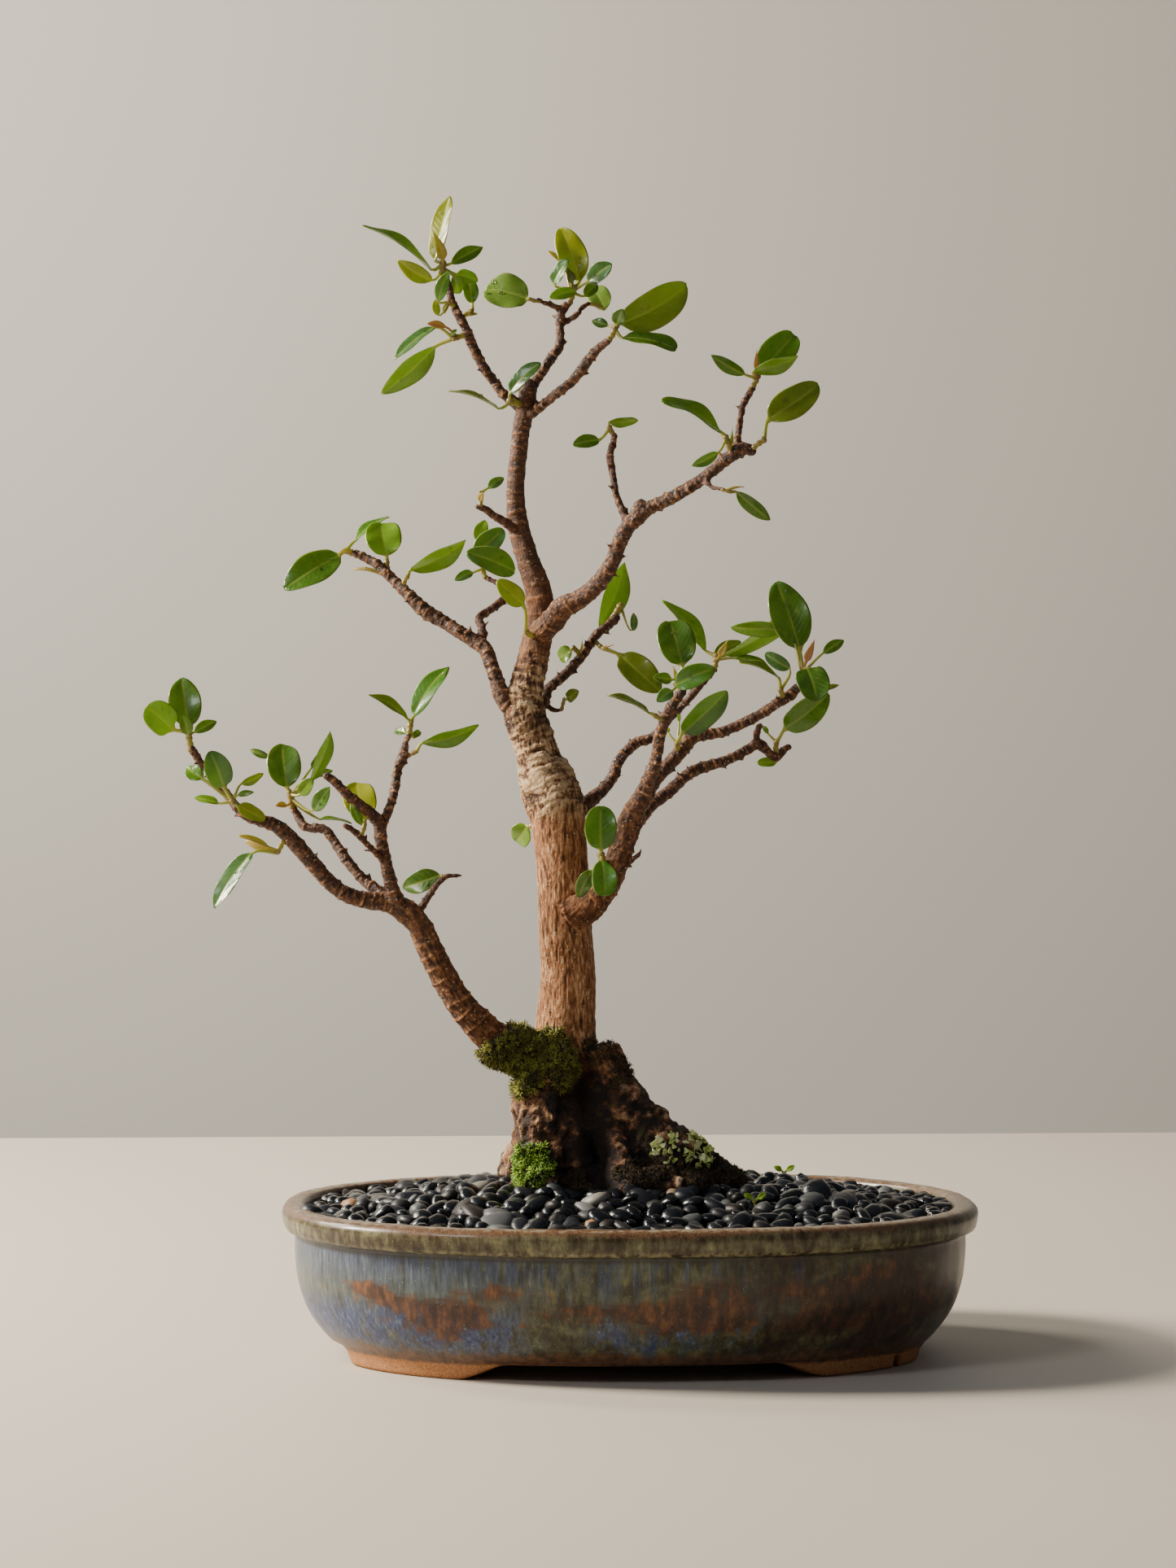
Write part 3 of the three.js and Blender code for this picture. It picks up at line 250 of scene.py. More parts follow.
def applied(piece):
    """Bakes the piece's modifiers into a plain mesh."""
    evaluated = piece.evaluated_get(bpy.context.evaluated_depsgraph_get())
    mesh = bpy.data.meshes.new_from_object(evaluated)
    piece.modifiers.clear()
    old = piece.data
    piece.data = mesh
    bpy.data.meshes.remove(old)
    mesh.name = piece.name
    return piece


def painted(piece, material):
    piece.data.materials.clear()
    piece.data.materials.append(material)
    return piece


def finished(piece, slot, *stands_for):
    """Ties the piece to the body and hides the nodes it stands for. The slot is not used."""
    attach(piece, "root")
    if stands_for:
        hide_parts(*stands_for)


def ring_faces(rings, around, closed_start=True, closed_end=True, first=0):
    """Faces of a closed loft through rings of equally many points."""
    faces = []
    for ring in range(rings - 1):
        for step in range(around):
            a = first + ring * around + step
            b = first + ring * around + (step + 1) % around
            faces.append((a, b, b + around, a + around))
    if closed_start:
        faces.append(tuple(first + step for step in reversed(range(around))))
    if closed_end:
        last = first + (rings - 1) * around
        faces.append(tuple(last + step for step in range(around)))
    return faces


def vectors_of(items, field):
    values = np.empty(len(items) * 3, np.float32)
    items.foreach_get(field, values)
    return values.reshape(-1, 3).astype(float)


def points_of(mesh):
    return vectors_of(mesh.vertices, "co") / MM


def normals_of(mesh):
    return vectors_of(mesh.vertex_normals, "vector")


def set_points(mesh, points):
    mesh.vertices.foreach_set("co", (points * MM).astype(np.float32).ravel())
    mesh.update()


def eased(value, low, high):
    share = np.clip((value - low) / (high - low), 0, 1)
    return share * share * (3 - 2 * share)


def noise_at(points, scale, seed=0.0):
    """Smooth noise between -1 and 1 at each point."""
    shifted = np.asarray(points) * scale + seed
    return np.array([noise.noise(row) for row in shifted.tolist()])


def rough_at(points, scale, octaves=4, seed=0.0):
    shifted = np.asarray(points) * scale + seed
    return np.array([noise.fractal(row, 1.0, 2.0, octaves) for row in shifted.tolist()])


# ---------------------------------------------------------------- wood
# Every limb's points are [x, y, height above the rim, radius].
TRUNK = [
    (-23, 1, 44, 13.5), (-24, 1, 62, 11.4), (-23, 0, 84, 10.2), (-24, 0, 99, 9.9), (-24.5, -1, 114, 9.8),
    (-25.5, -1, 129, 9.6), (-27, -1, 143, 10.2), (-28.5, 0, 149, 11.2), (-30.5, 1, 156, 10.6),
    (-34, 2, 165, 7.9),
    (-36, 3, 174, 7.8), (-39, 4, 181, 8.4), (-39.5, 5, 187, 7.6), (-38, 5, 195, 6.2), (-36, 6, 203, 5.9),
    (-34, 7, 212, 5.8), (-33, 7, 218, 6), (-34, 7, 229, 5.2), (-38, 8, 241, 4.5), (-41.5, 9, 254, 4.2),
    (-42.5, 8, 266, 3.6), (-41.5, 6, 280, 3.5), (-40, 4, 292, 3.6), (-38.5, 3, 299, 3.8),
    (-38, 2, 306, 3.2)]
ROOTS = [
    [(-23, 1, 48, 13), (-20, 0, 34, 17), (-14, -1, 20, 22), (-8, -1, 6, 26), (-6, 0, -8, 26),
     (-6, 0, -20, 19)],
    [(-26, -2, 54, 11), (-30, -5, 42, 12.5), (-31, -8, 29, 13), (-31, -9, 17, 13), (-31, -10, 6, 14.5),
     (-30, -10, -6, 13)],
    [(-12, -1, 56, 8.5), (-8, -3, 45, 9.5), (-2, -6, 35, 10.5), (6, -9, 25, 11), (14, -12, 14, 12),
     (19, -13, 2, 12)],
    [(10, -8, 16, 11), (21, -7, 14, 10.5), (29, -6, 9, 10), (37, -5, 2, 9), (42, -4, -6, 6)],
    [(-20, -14, 6, 11), (-8, -18, 4, 11.5), (8, -20, 4, 11), (22, -18, 2, 10)],
    [(-20, 6, 36, 12), (-14, 14, 20, 13), (-8, 20, 6, 13), (-4, 24, -6, 10)],
    [(-28, 6, 28, 11), (-35, 12, 14, 11), (-41, 17, 2, 9), (-46, 22, -8, 6)]]
BOUGHS = {
    "low_left_limb": [
        [(-34, -5, 53, 6.8), (-50, -11, 61, 6.5), (-57, -14, 67, 6.2), (-64, -16, 75, 5.4),
         (-70, -17, 85, 5.2),
         (-75, -19, 95, 5), (-79, -20, 104, 4.6), (-84, -21, 109, 4.8), (-90, -21, 112, 3.7),
         (-97, -22, 113, 3.5),
         (-105, -24, 115, 3.1), (-112, -25, 120, 3), (-119, -27, 128, 3.1), (-126, -28, 136, 3.1),
         (-132, -29, 141, 2.7), (-141, -31, 144, 2.2), (-146, -31, 148, 1.9), (-152, -32, 156, 1.6),
         (-158, -33, 163, 1.5), (-162, -34, 169, 1.7)],
        [(-79, -18, 109, 1.6), (-75, -15, 115, 1.4), (-70, -12, 121, 1.2), (-65, -12, 122, 0.9),
         (-63, -11, 122, 0.5)],
        [(-88, -19, 113, 2.6), (-95, -16, 117, 2.4), (-100, -14, 121, 2.2), (-106, -12, 128, 2.1),
         (-110, -9, 134, 1.9), (-114, -8, 139, 1.9), (-121, -7, 140, 1.8), (-124, -5, 144, 1.7),
         (-126, -5, 148, 1.4)],
        [(-86, -22, 110, 3.1), (-89, -25, 118, 2.7), (-91, -27, 126, 2.5), (-93, -29, 135, 2.5),
         (-94, -30, 142, 2.6),
         (-100, -34, 148, 2.1), (-105, -37, 152, 1.9), (-110, -39, 157, 1.8), (-113, -41, 159, 1.5)],
        [(-93, -29, 141, 2.2), (-90, -27, 147, 1.8), (-88, -24, 154, 1.8), (-87, -22, 161, 1.8),
         (-85, -21, 166, 2.2),
         (-84, -19, 171, 1.4), (-83, -18, 174, 1.2)],
        [(-92, -28, 128, 1.4), (-96, -33, 132, 1.2), (-99, -37, 135, 1.2), (-103, -41, 139, 1.3),
         (-106, -43, 141, 1.1)]],
    "upper_left_limb": [
        [(-40, 4, 181, 4.6), (-47, 3, 188, 3.6), (-50, 4, 196, 2.9), (-52, 6, 202, 2.8), (-54, 8, 207, 3),
         (-58, 10, 210, 2.9), (-63, 11, 213, 2.7), (-69, 14, 217, 2.7), (-77, 16, 222, 3),
         (-84, 18, 229, 2.4),
         (-89, 21, 234, 2.2), (-94, 22, 239, 2.1), (-99, 24, 242, 1.8), (-103, 25, 244, 1.6)],
        [(-55, 9, 209, 1.9), (-55, 13, 215, 1.7), (-56, 17, 219, 1.7), (-52, 20, 222, 1.6),
         (-47, 24, 226, 1.6),
         (-46, 27, 229, 1.3), (-49, 31, 233, 1.2), (-53, 34, 235, 1)]],
    "trunk_left_spur": [
        [(-42, 7, 251, 2.1), (-46, 4, 254, 1.8), (-51, 3, 257, 1.7), (-54, 1, 259, 1.5),
         (-57, 0, 260, 1.2)]],
    "crown_left_branch": [
        [(-39, 3, 296, 2.6), (-44, 2, 300, 2.3), (-48, 0, 303, 1.9), (-51, 0, 307, 1.9), (-54, -2, 311, 2),
         (-57, -3, 316, 2), (-60, -5, 322, 2.1), (-62, -6, 327, 1.9), (-65, -7, 332, 1.8),
         (-67, -8, 337, 1.5),
         (-68, -8, 342, 1.4), (-70, -8, 346, 1.3)]],
    "crown_middle_branch": [
        [(-38, 2, 301, 2.7), (-35.5, 5, 307, 2.2), (-32, 7, 312, 2), (-29, 9, 317, 2), (-26, 10, 321, 1.9),
         (-25.5, 12, 327, 1.8), (-25.5, 13, 332, 1.7), (-24, 14, 336, 1.8), (-21.5, 14, 339, 1.5)],
        [(-25, 13, 330, 1.3), (-19, 17, 334, 1.2), (-17, 19, 337, 1.1), (-14, 21, 339, 0.9)],
        [(-25, 14, 336, 1.4), (-28, 13, 337, 1.2), (-32, 11, 338, 1), (-34, 9, 339, 0.9)]],
    "crown_right_branch": [
        [(-39, 3, 294, 2.6), (-34, -1, 297, 2.1), (-30, -4, 300, 1.8), (-26, -8, 303, 1.9),
         (-22, -10, 306, 2),
         (-18, -13, 311, 2.1), (-15, -15, 315, 2), (-12, -17, 318, 1.7), (-9, -20, 320, 1.4)]],
    "upper_right_limb": [
        [(-34, 5, 213, 5.2), (-29, 0, 217, 4.7), (-25, -4, 222, 4.5), (-19, -7, 225, 3.7),
         (-13, -11, 230, 3.4),
         (-8, -16, 237, 3.1), (-5, -19, 245, 3), (-2, -21, 251, 3.1), (2, -23, 255, 3.3),
         (6, -24, 258, 2.7),
         (13, -27, 261, 2.6), (20, -29, 265, 2.5), (26, -31, 269, 2.3), (32, -33, 274, 2.4),
         (36, -34, 277, 2.6),
         (40, -34, 279, 2.7), (43, -35, 278, 1.9)],
        [(37, -34, 278, 2), (38, -32, 284, 1.5), (39, -30, 290, 1.3), (40, -28, 295, 1.4),
         (42, -27, 299, 1.4),
         (44, -26, 302, 1.3)],
        [(-1, -20, 252, 2.1), (-4, -18, 258, 1.6), (-6, -16, 264, 1.4), (-7, -14, 271, 1.5),
         (-8, -12, 278, 1.6),
         (-7, -11, 282, 1.5), (-6, -10, 286, 1.2)],
        [(26, -32, 269, 1.3), (28, -34, 265, 0.9), (32, -37, 264, 0.8)],
        [(1, -23, 255, 3), (3, -23, 259, 2.9)]],
    "short_right_branch": [
        [(-36, 9, 184, 3), (-32, 12, 187, 2.4), (-30, 15, 192, 2.1), (-25, 17, 196, 2), (-20, 21, 201, 2),
         (-15, 25, 207, 1.9), (-11, 28, 213, 1.9), (-6, 30, 217, 1.9), (-3, 33, 220, 2)],
        [(-31, 13, 186, 1.3), (-28, 12, 184, 1.1), (-25, 10, 184, 0.9)]],
    "low_right_limb": [
        [(-23, -5, 108, 8), (-16, -9, 111, 7), (-12, -12, 115, 5.6), (-8, -16, 121, 5), (-5, -19, 130, 4.8),
         (-2, -21, 139, 4.9), (0, -23, 145, 4.4), (3, -26, 152, 3.2), (6, -29, 159, 2.8),
         (8, -31, 166, 2.3),
         (9, -33, 173, 2.3), (11, -36, 180, 2.3), (14, -38, 186, 2.2), (17, -39, 190, 1.9)],
        [(3, -24, 148, 3.2), (7, -23, 156, 2.9), (10, -23, 160, 2.9), (15, -21, 165, 2.8),
         (20, -19, 171, 2.9),
         (24, -18, 174, 2.6), (32, -17, 175, 2.1), (40, -16, 178, 2.1), (48, -15, 182, 2.1),
         (54, -15, 186, 2.1),
         (59, -14, 189, 2.2), (62, -13, 192, 1.8)],
        [(1, -20, 142, 3.3), (7, -14, 148, 2.7), (14, -10, 153, 2.5), (21, -5, 159, 2.3),
         (27, -1, 162, 2.4),
         (37, 1, 165, 2), (45, 3, 169, 2), (49, 3, 171, 2.2), (54, 5, 167, 1.7), (56, 6, 166, 1.7),
         (59, 7, 169, 1.7),
         (61, 7, 170, 1.4)],
        [(49, 3, 170, 1.6), (48, 1, 174, 1.5), (49, 0, 178, 1.3)],
        [(-6, -19, 128, 1.9), (-2, -21, 127, 1.3), (2, -23, 130, 0.9), (3, -23, 132, 0.4)]],
    "rear_right_branch": [
        [(-23, 3, 142, 4), (-15, 10, 149, 3.2), (-9, 16, 154, 2.4), (-5, 20, 159, 2.4), (-3, 23, 164, 2.3),
         (0, 26, 168, 2.2), (5, 28, 172, 2.2), (11, 28, 174, 2), (17, 29, 181, 1.8), (24, 28, 188, 1.6),
         (30, 26, 195, 1.5), (34, 25, 200, 1.5)]]}
# Hollows and knots of the trunk piece: [x, y, height, reach, depth], depth below zero standing proud.
KNOTS = [
    (-32, -9, 76, 2.6, 1.3), (-21, -10, 118, 2.5, -0.8), (-29, -10, 150, 4, -1.3), (-34, -7, 160, 3, -1),
    (-16, -9, 152, 3.5, -1.4), (-21, -9, 160, 3, 1), (-42, -3, 178, 3.5, -1.2), (-39, -4, 183, 2.5, 0.8),
    (-33, -5, 190, 2.5, -0.7), (-40, 0, 206, 2.2, -0.8), (-29, 2, 236, 2, -0.9), (-37, -3, 172, 2.4, 0.9)]
# Dark clefts between the roots: [start, end, reach, depth].
CLEFTS = [
    ((-17, -13, 46), (-14, -22, 20), 5, 6.5), ((-14, -22, 20), (-12, -30, 8), 4.5, 5),
    ((-34, -20, 16), (-14, -27, 10), 4, 3.5), ((-5, -12, 30), (4, -22, 14), 3.5, 3),
    ((-2, -6, 46), (10, -18, 22), 2.6, 1.6), ((16, -24, 14), (30, -16, 12), 4, 2.5),
    ((-44, -10, 30), (-42, -16, 10), 3.5, 2.5), ((-24, -16, 44), (-26, -22, 30), 3, 2.2)]
TRUNK_GRAIN_MM = 0.8  # size of the trunk's faces
TWIG_GRAIN_MM = 0.5
SAMPLE_STEP = 0.6  # between points of a smoothed limb
POINTS_AT_ONCE = 4000  # keeps the search for the nearest sample small
SPUR_LIMB_RADIUS = 3.4  # thicker limbs have lost their spurs


def smoothed(path, step=SAMPLE_STEP):
    """A smooth curve through the path's points, sampled every step millimetres, with its radius."""
    rows = np.array(path, float)
    padded = np.vstack([2 * rows[0] - rows[1], rows, 2 * rows[-1] - rows[-2]])
    samples = []
    for i in range(len(rows) - 1):
        a, b, c, d = padded[i:i + 4]
        count = max(2, int(np.linalg.norm(c[:3] - b[:3]) / step))
        t = np.linspace(0, 1, count, endpoint=False)[:, None]
        curve = 2 * b + (c - a) * t + (2 * a - 5 * b + 4 * c - d) * t ** 2
        curve = curve + (3 * b - a - 3 * c + d) * t ** 3
        samples.append(curve / 2)
    samples.append(rows[-1:])
    curve = np.vstack(samples)
    curve[:, 3] = np.maximum(curve[:, 3], rows[:, 3].min() * 0.9)
    return curve


def frames_along(curve):
    """Way, side and up at each sample, turning as little as possible from one to the next."""
    ways = np.gradient(curve[:, :3], axis=0)
    ways /= np.linalg.norm(ways, axis=1, keepdims=True)
    sides = np.empty_like(ways)
    side = np.array([1, 0.2, 0.1])
    for i, way in enumerate(ways):
        side = side - way * side.dot(way)
        side = side / np.linalg.norm(side)
        sides[i] = side
    return ways, sides, np.cross(ways, sides)


def tube(curve, around):
    """Points of a closed tube with a rounded far end: rings of that many points."""
    ways, sides, ups = frames_along(curve)
    centres = np.vstack([curve[:, :3], curve[-1, :3] + ways[-1] * curve[-1, 3] * 0.5,
                         curve[-1, :3] + ways[-1] * curve[-1, 3] * 0.8])
    radii = np.concatenate([curve[:, 3], curve[-1, 3] * np.array([0.8, 0.4])])
    sides = np.vstack([sides, sides[-1:], sides[-1:]])
    ups = np.vstack([ups, ups[-1:], ups[-1:]])
    angles = np.arange(around) * 2 * math.pi / around
    spread = sides[:, None] * np.cos(angles)[None, :, None] + ups[:, None] * np.sin(angles)[None, :, None]
    return (centres[:, None] + spread * radii[:, None, None]).reshape(-1, 3), len(centres)


def spurs_on(curve, draw, gap=4.4):
    """Short stubs where leaves once grew, along a thin limb."""
    ways, sides, ups = frames_along(curve)
    spurs = []
    at = draw.uniform(4, gap)
    while at < len(curve) * SAMPLE_STEP - 6:
        i = int(at / SAMPLE_STEP)
        radius = curve[i, 3]
        if radius < SPUR_LIMB_RADIUS:
            turn = draw.uniform(0, 2 * math.pi)
            out = sides[i] * math.cos(turn) + ups[i] * math.sin(turn)
            lean = ways[i] * draw.uniform(0.5, 1.1)
            start = curve[i, :3] + out * radius * 0.5
            length = radius * 0.5 + draw.uniform(0.8, 2.7)
            end = start + (out + lean) / np.linalg.norm(out + lean) * length
            thick = draw.uniform(0.55, 0.85)
            spurs.append([(*start, thick), (*((start + end) / 2), thick * 0.9), (*end, thick * 0.5)])
        at += draw.uniform(0.5, 1.5) * gap
    return spurs


def nearest_samples(points, curves):
    """For each point the sample whose surface is nearest: its limb, index and distance."""
    all_samples = np.vstack(curves)
    owner = np.concatenate([np.full(len(curve), i) for i, curve in enumerate(curves)])
    index = np.concatenate([np.arange(len(curve)) for curve in curves])
    best = np.empty(len(points), int)
    for start in range(0, len(points), POINTS_AT_ONCE):
        rows = points[start:start + POINTS_AT_ONCE]
        gaps = np.linalg.norm(rows[:, None] - all_samples[None, :, :3], axis=2) - all_samples[None, :, 3]
        best[start:start + POINTS_AT_ONCE] = gaps.argmin(axis=1)
    return owner[best], index[best]


def relaxed(mesh, points, rounds, share=0.5):
    """Points drawn towards the mean of their neighbours."""
    edges = np.empty(len(mesh.edges) * 2, np.int32)
    mesh.edges.foreach_get("vertices", edges)
    a, b = edges.reshape(-1, 2).T
    degree = np.bincount(np.concatenate([a, b]), minlength=len(points))[:, None]
    for _ in range(rounds):
        total = np.zeros_like(points)
        for axis in range(3):
            total[:, axis] = (np.bincount(a, points[b, axis], len(points))
                              + np.bincount(b, points[a, axis], len(points)))
        points = points + share * (total / degree - points)
    return points


def grown_wood(name, limbs, grain, material, around, seed, spurs=True):
    """One skin over the limbs with its spurs, returned with the measures from which the caller raises its
    fissures and leaf scars.
    """
    draw = random.Random(seed)
    lifted = [[(x, y, z + RIM, r) for x, y, z, r in limb] for limb in limbs]
    curves = [smoothed(limb) for limb in lifted]
    extra = [smoothed(spur) for curve in curves for spur in spurs_on(curve, draw)] if spurs else []
    points, faces, first = [], [], 0
    for curve in curves + extra:
        sides = around if curve[0, 3] > 1 else 8
        rows, rings = tube(curve, sides)
        faces += ring_faces(rings, sides, first=first)
        first += len(rows)
        points.append(rows)
    piece = plain_mesh(name, np.vstack(points), faces, material)
    remesh = piece.modifiers.new("skin", "REMESH")
    remesh.mode = "VOXEL"
    remesh.voxel_size = grain * MM
    applied(piece)
    mesh = piece.data
    points = relaxed(mesh, points_of(mesh), 3)
    set_points(mesh, points)
    normals = normals_of(mesh)
    owner, index = nearest_samples(points, curves)
    along = index * SAMPLE_STEP
    radius = np.empty(len(points))
    turn = np.empty(len(points))
    rings = np.zeros(len(points))
    for i, curve in enumerate(curves):
        mine = owner == i
        if not mine.any():
            continue
        ways, sides, ups = frames_along(curve)
        offset = points[mine] - curve[index[mine], :3]
        across = (offset * sides[index[mine]]).sum(1)
        upward = (offset * ups[index[mine]]).sum(1)
        along[mine] = along[mine] + (offset * ways[index[mine]]).sum(1)
        turn[mine] = np.arctan2(upward, across)
        radius[mine] = curve[index[mine], 3]
        at = draw.uniform(1, 4)
        while at < len(curve) * SAMPLE_STEP:
            thick = curve[min(int(at / SAMPLE_STEP), len(curve) - 1), 3]
            face = draw.uniform(0, 2 * math.pi)
            high = draw.uniform(0.5, 1)
            part = 0.65 + 0.35 * np.cos(turn[mine] - face)
            wave = at + 0.35 * np.sin(turn[mine] * 2 + face)
            rings[mine] += high * part * np.exp(-((along[mine] - wave) / 0.55) ** 2)
            at += draw.uniform(1.6, 3.4) + 0.45 * thick
    around_mm = turn * radius
    return piece, points, normals, along, around_mm, radius, rings


def carved(points, depth, height):
    """Hollows and clefts of the root base and trunk, added to a depth in millimetres."""
    for x, y, z, reach, deep in KNOTS:
        gap = np.linalg.norm(points - np.array([x, y, z + height]), axis=1)
        depth += deep * np.exp(-(gap / reach) ** 2)
    for start, end, reach, deep in CLEFTS:
        a = np.array(start, float) + [0, 0, height]
        b = np.array(end, float) + [0, 0, height]
        share = np.clip(((points - a) @ (b - a)) / ((b - a) @ (b - a)), 0, 1)
        gap = np.linalg.norm(points - a - share[:, None] * (b - a), axis=1)
        depth += deep * np.exp(-(gap / reach) ** 2)
    return depth


def bark_map(mesh, along, around_mm, radius, rootness, relief):
    """Keeps for the bark finish where each point lies, and how proud it stands: 0 hollow, 1 proud, which
    the finish paints as shade in hollows and light on proud parts.
    """
    keep(mesh, "grain", "FLOAT_VECTOR", np.column_stack([along, around_mm, radius]))
    keep(mesh, "rooty", "FLOAT", rootness)
    keep(mesh, "relief", "FLOAT", np.clip(0.5 + relief, 0, 1))


def add_trunk(material):
    piece, points, normals, along, around_mm, radius, rings = grown_wood(
        "trunk_wood", [TRUNK] + ROOTS, TRUNK_GRAIN_MM, material, 40, 3, spurs=False)
    height = points[:, 2] - RIM
    rooty = 1 - eased(height + 0.25 * (points[:, 0] + 24), 44, 60)
    upper = eased(height, 140, 148) * (1 - eased(height, 196, 214))
    twiggy = eased(height, 196, 214)
    grain = np.column_stack([around_mm * 1.05, along * 0.14, radius * 0])
    fissure = 1 - np.abs(rough_at(grain, 0.9, 3, 7.3)) * 2
    wrinkle = rough_at(np.column_stack([around_mm * 0.12, along * 0.62, radius * 0]), 1, 3, 2.1)
    lumps = rough_at(points, 0.075, 4, 4.7)
    burr = rough_at(points, 0.3, 4, 1.9)
    push = 0.27 * fissure * (1 - rooty) * (1 - twiggy)
    push += 0.75 * wrinkle * upper + 0.9 * lumps * upper
    push += (2.3 * lumps + 0.95 * burr) * rooty
    push += 0.42 * (rings - 0.4) * np.maximum(twiggy, 0.35 * upper)
    push += 0.22 * burr
    hollow = carved(points, np.zeros(len(points)), RIM)
    set_points(piece.data, points + normals * (push - hollow)[:, None] + POT_MIDDLE)
    relief = 0.42 * fissure * (1 - rooty) * (1 - twiggy) + (0.55 * wrinkle + 0.35 * lumps) * upper
    relief += (0.35 * lumps + 0.55 * burr) * rooty + 0.35 * (rings - 0.4) * twiggy - 0.16 * hollow
    bark_map(piece.data, along, around_mm, radius, rooty, relief)
    finished(piece, "bark", "trunk")


def add_bough(name, limbs, material, seed):
    piece, points, normals, along, around_mm, radius, rings = grown_wood(
        name + "_wood", limbs, TWIG_GRAIN_MM, material, 18, seed)
    thick = eased(radius, 3.2, 5.5)
    grain = np.column_stack([around_mm * 0.75, along * 0.16, radius * 0])
    fissure = rough_at(grain, 0.9, 2, 5.1)
    burr = rough_at(points, 0.55, 3, 1.9)
    push = (0.26 + 0.07 * radius) * (rings - 0.35) + 0.3 * fissure * thick + 0.28 * burr
    set_points(piece.data, points + normals * push[:, None] + POT_MIDDLE)
    relief = 0.32 * (rings - 0.4) + 0.30 * fissure * thick + 0.30 * burr
    bark_map(piece.data, along, around_mm, radius, np.zeros(len(points)), relief)
    finished(piece, "bark", name)


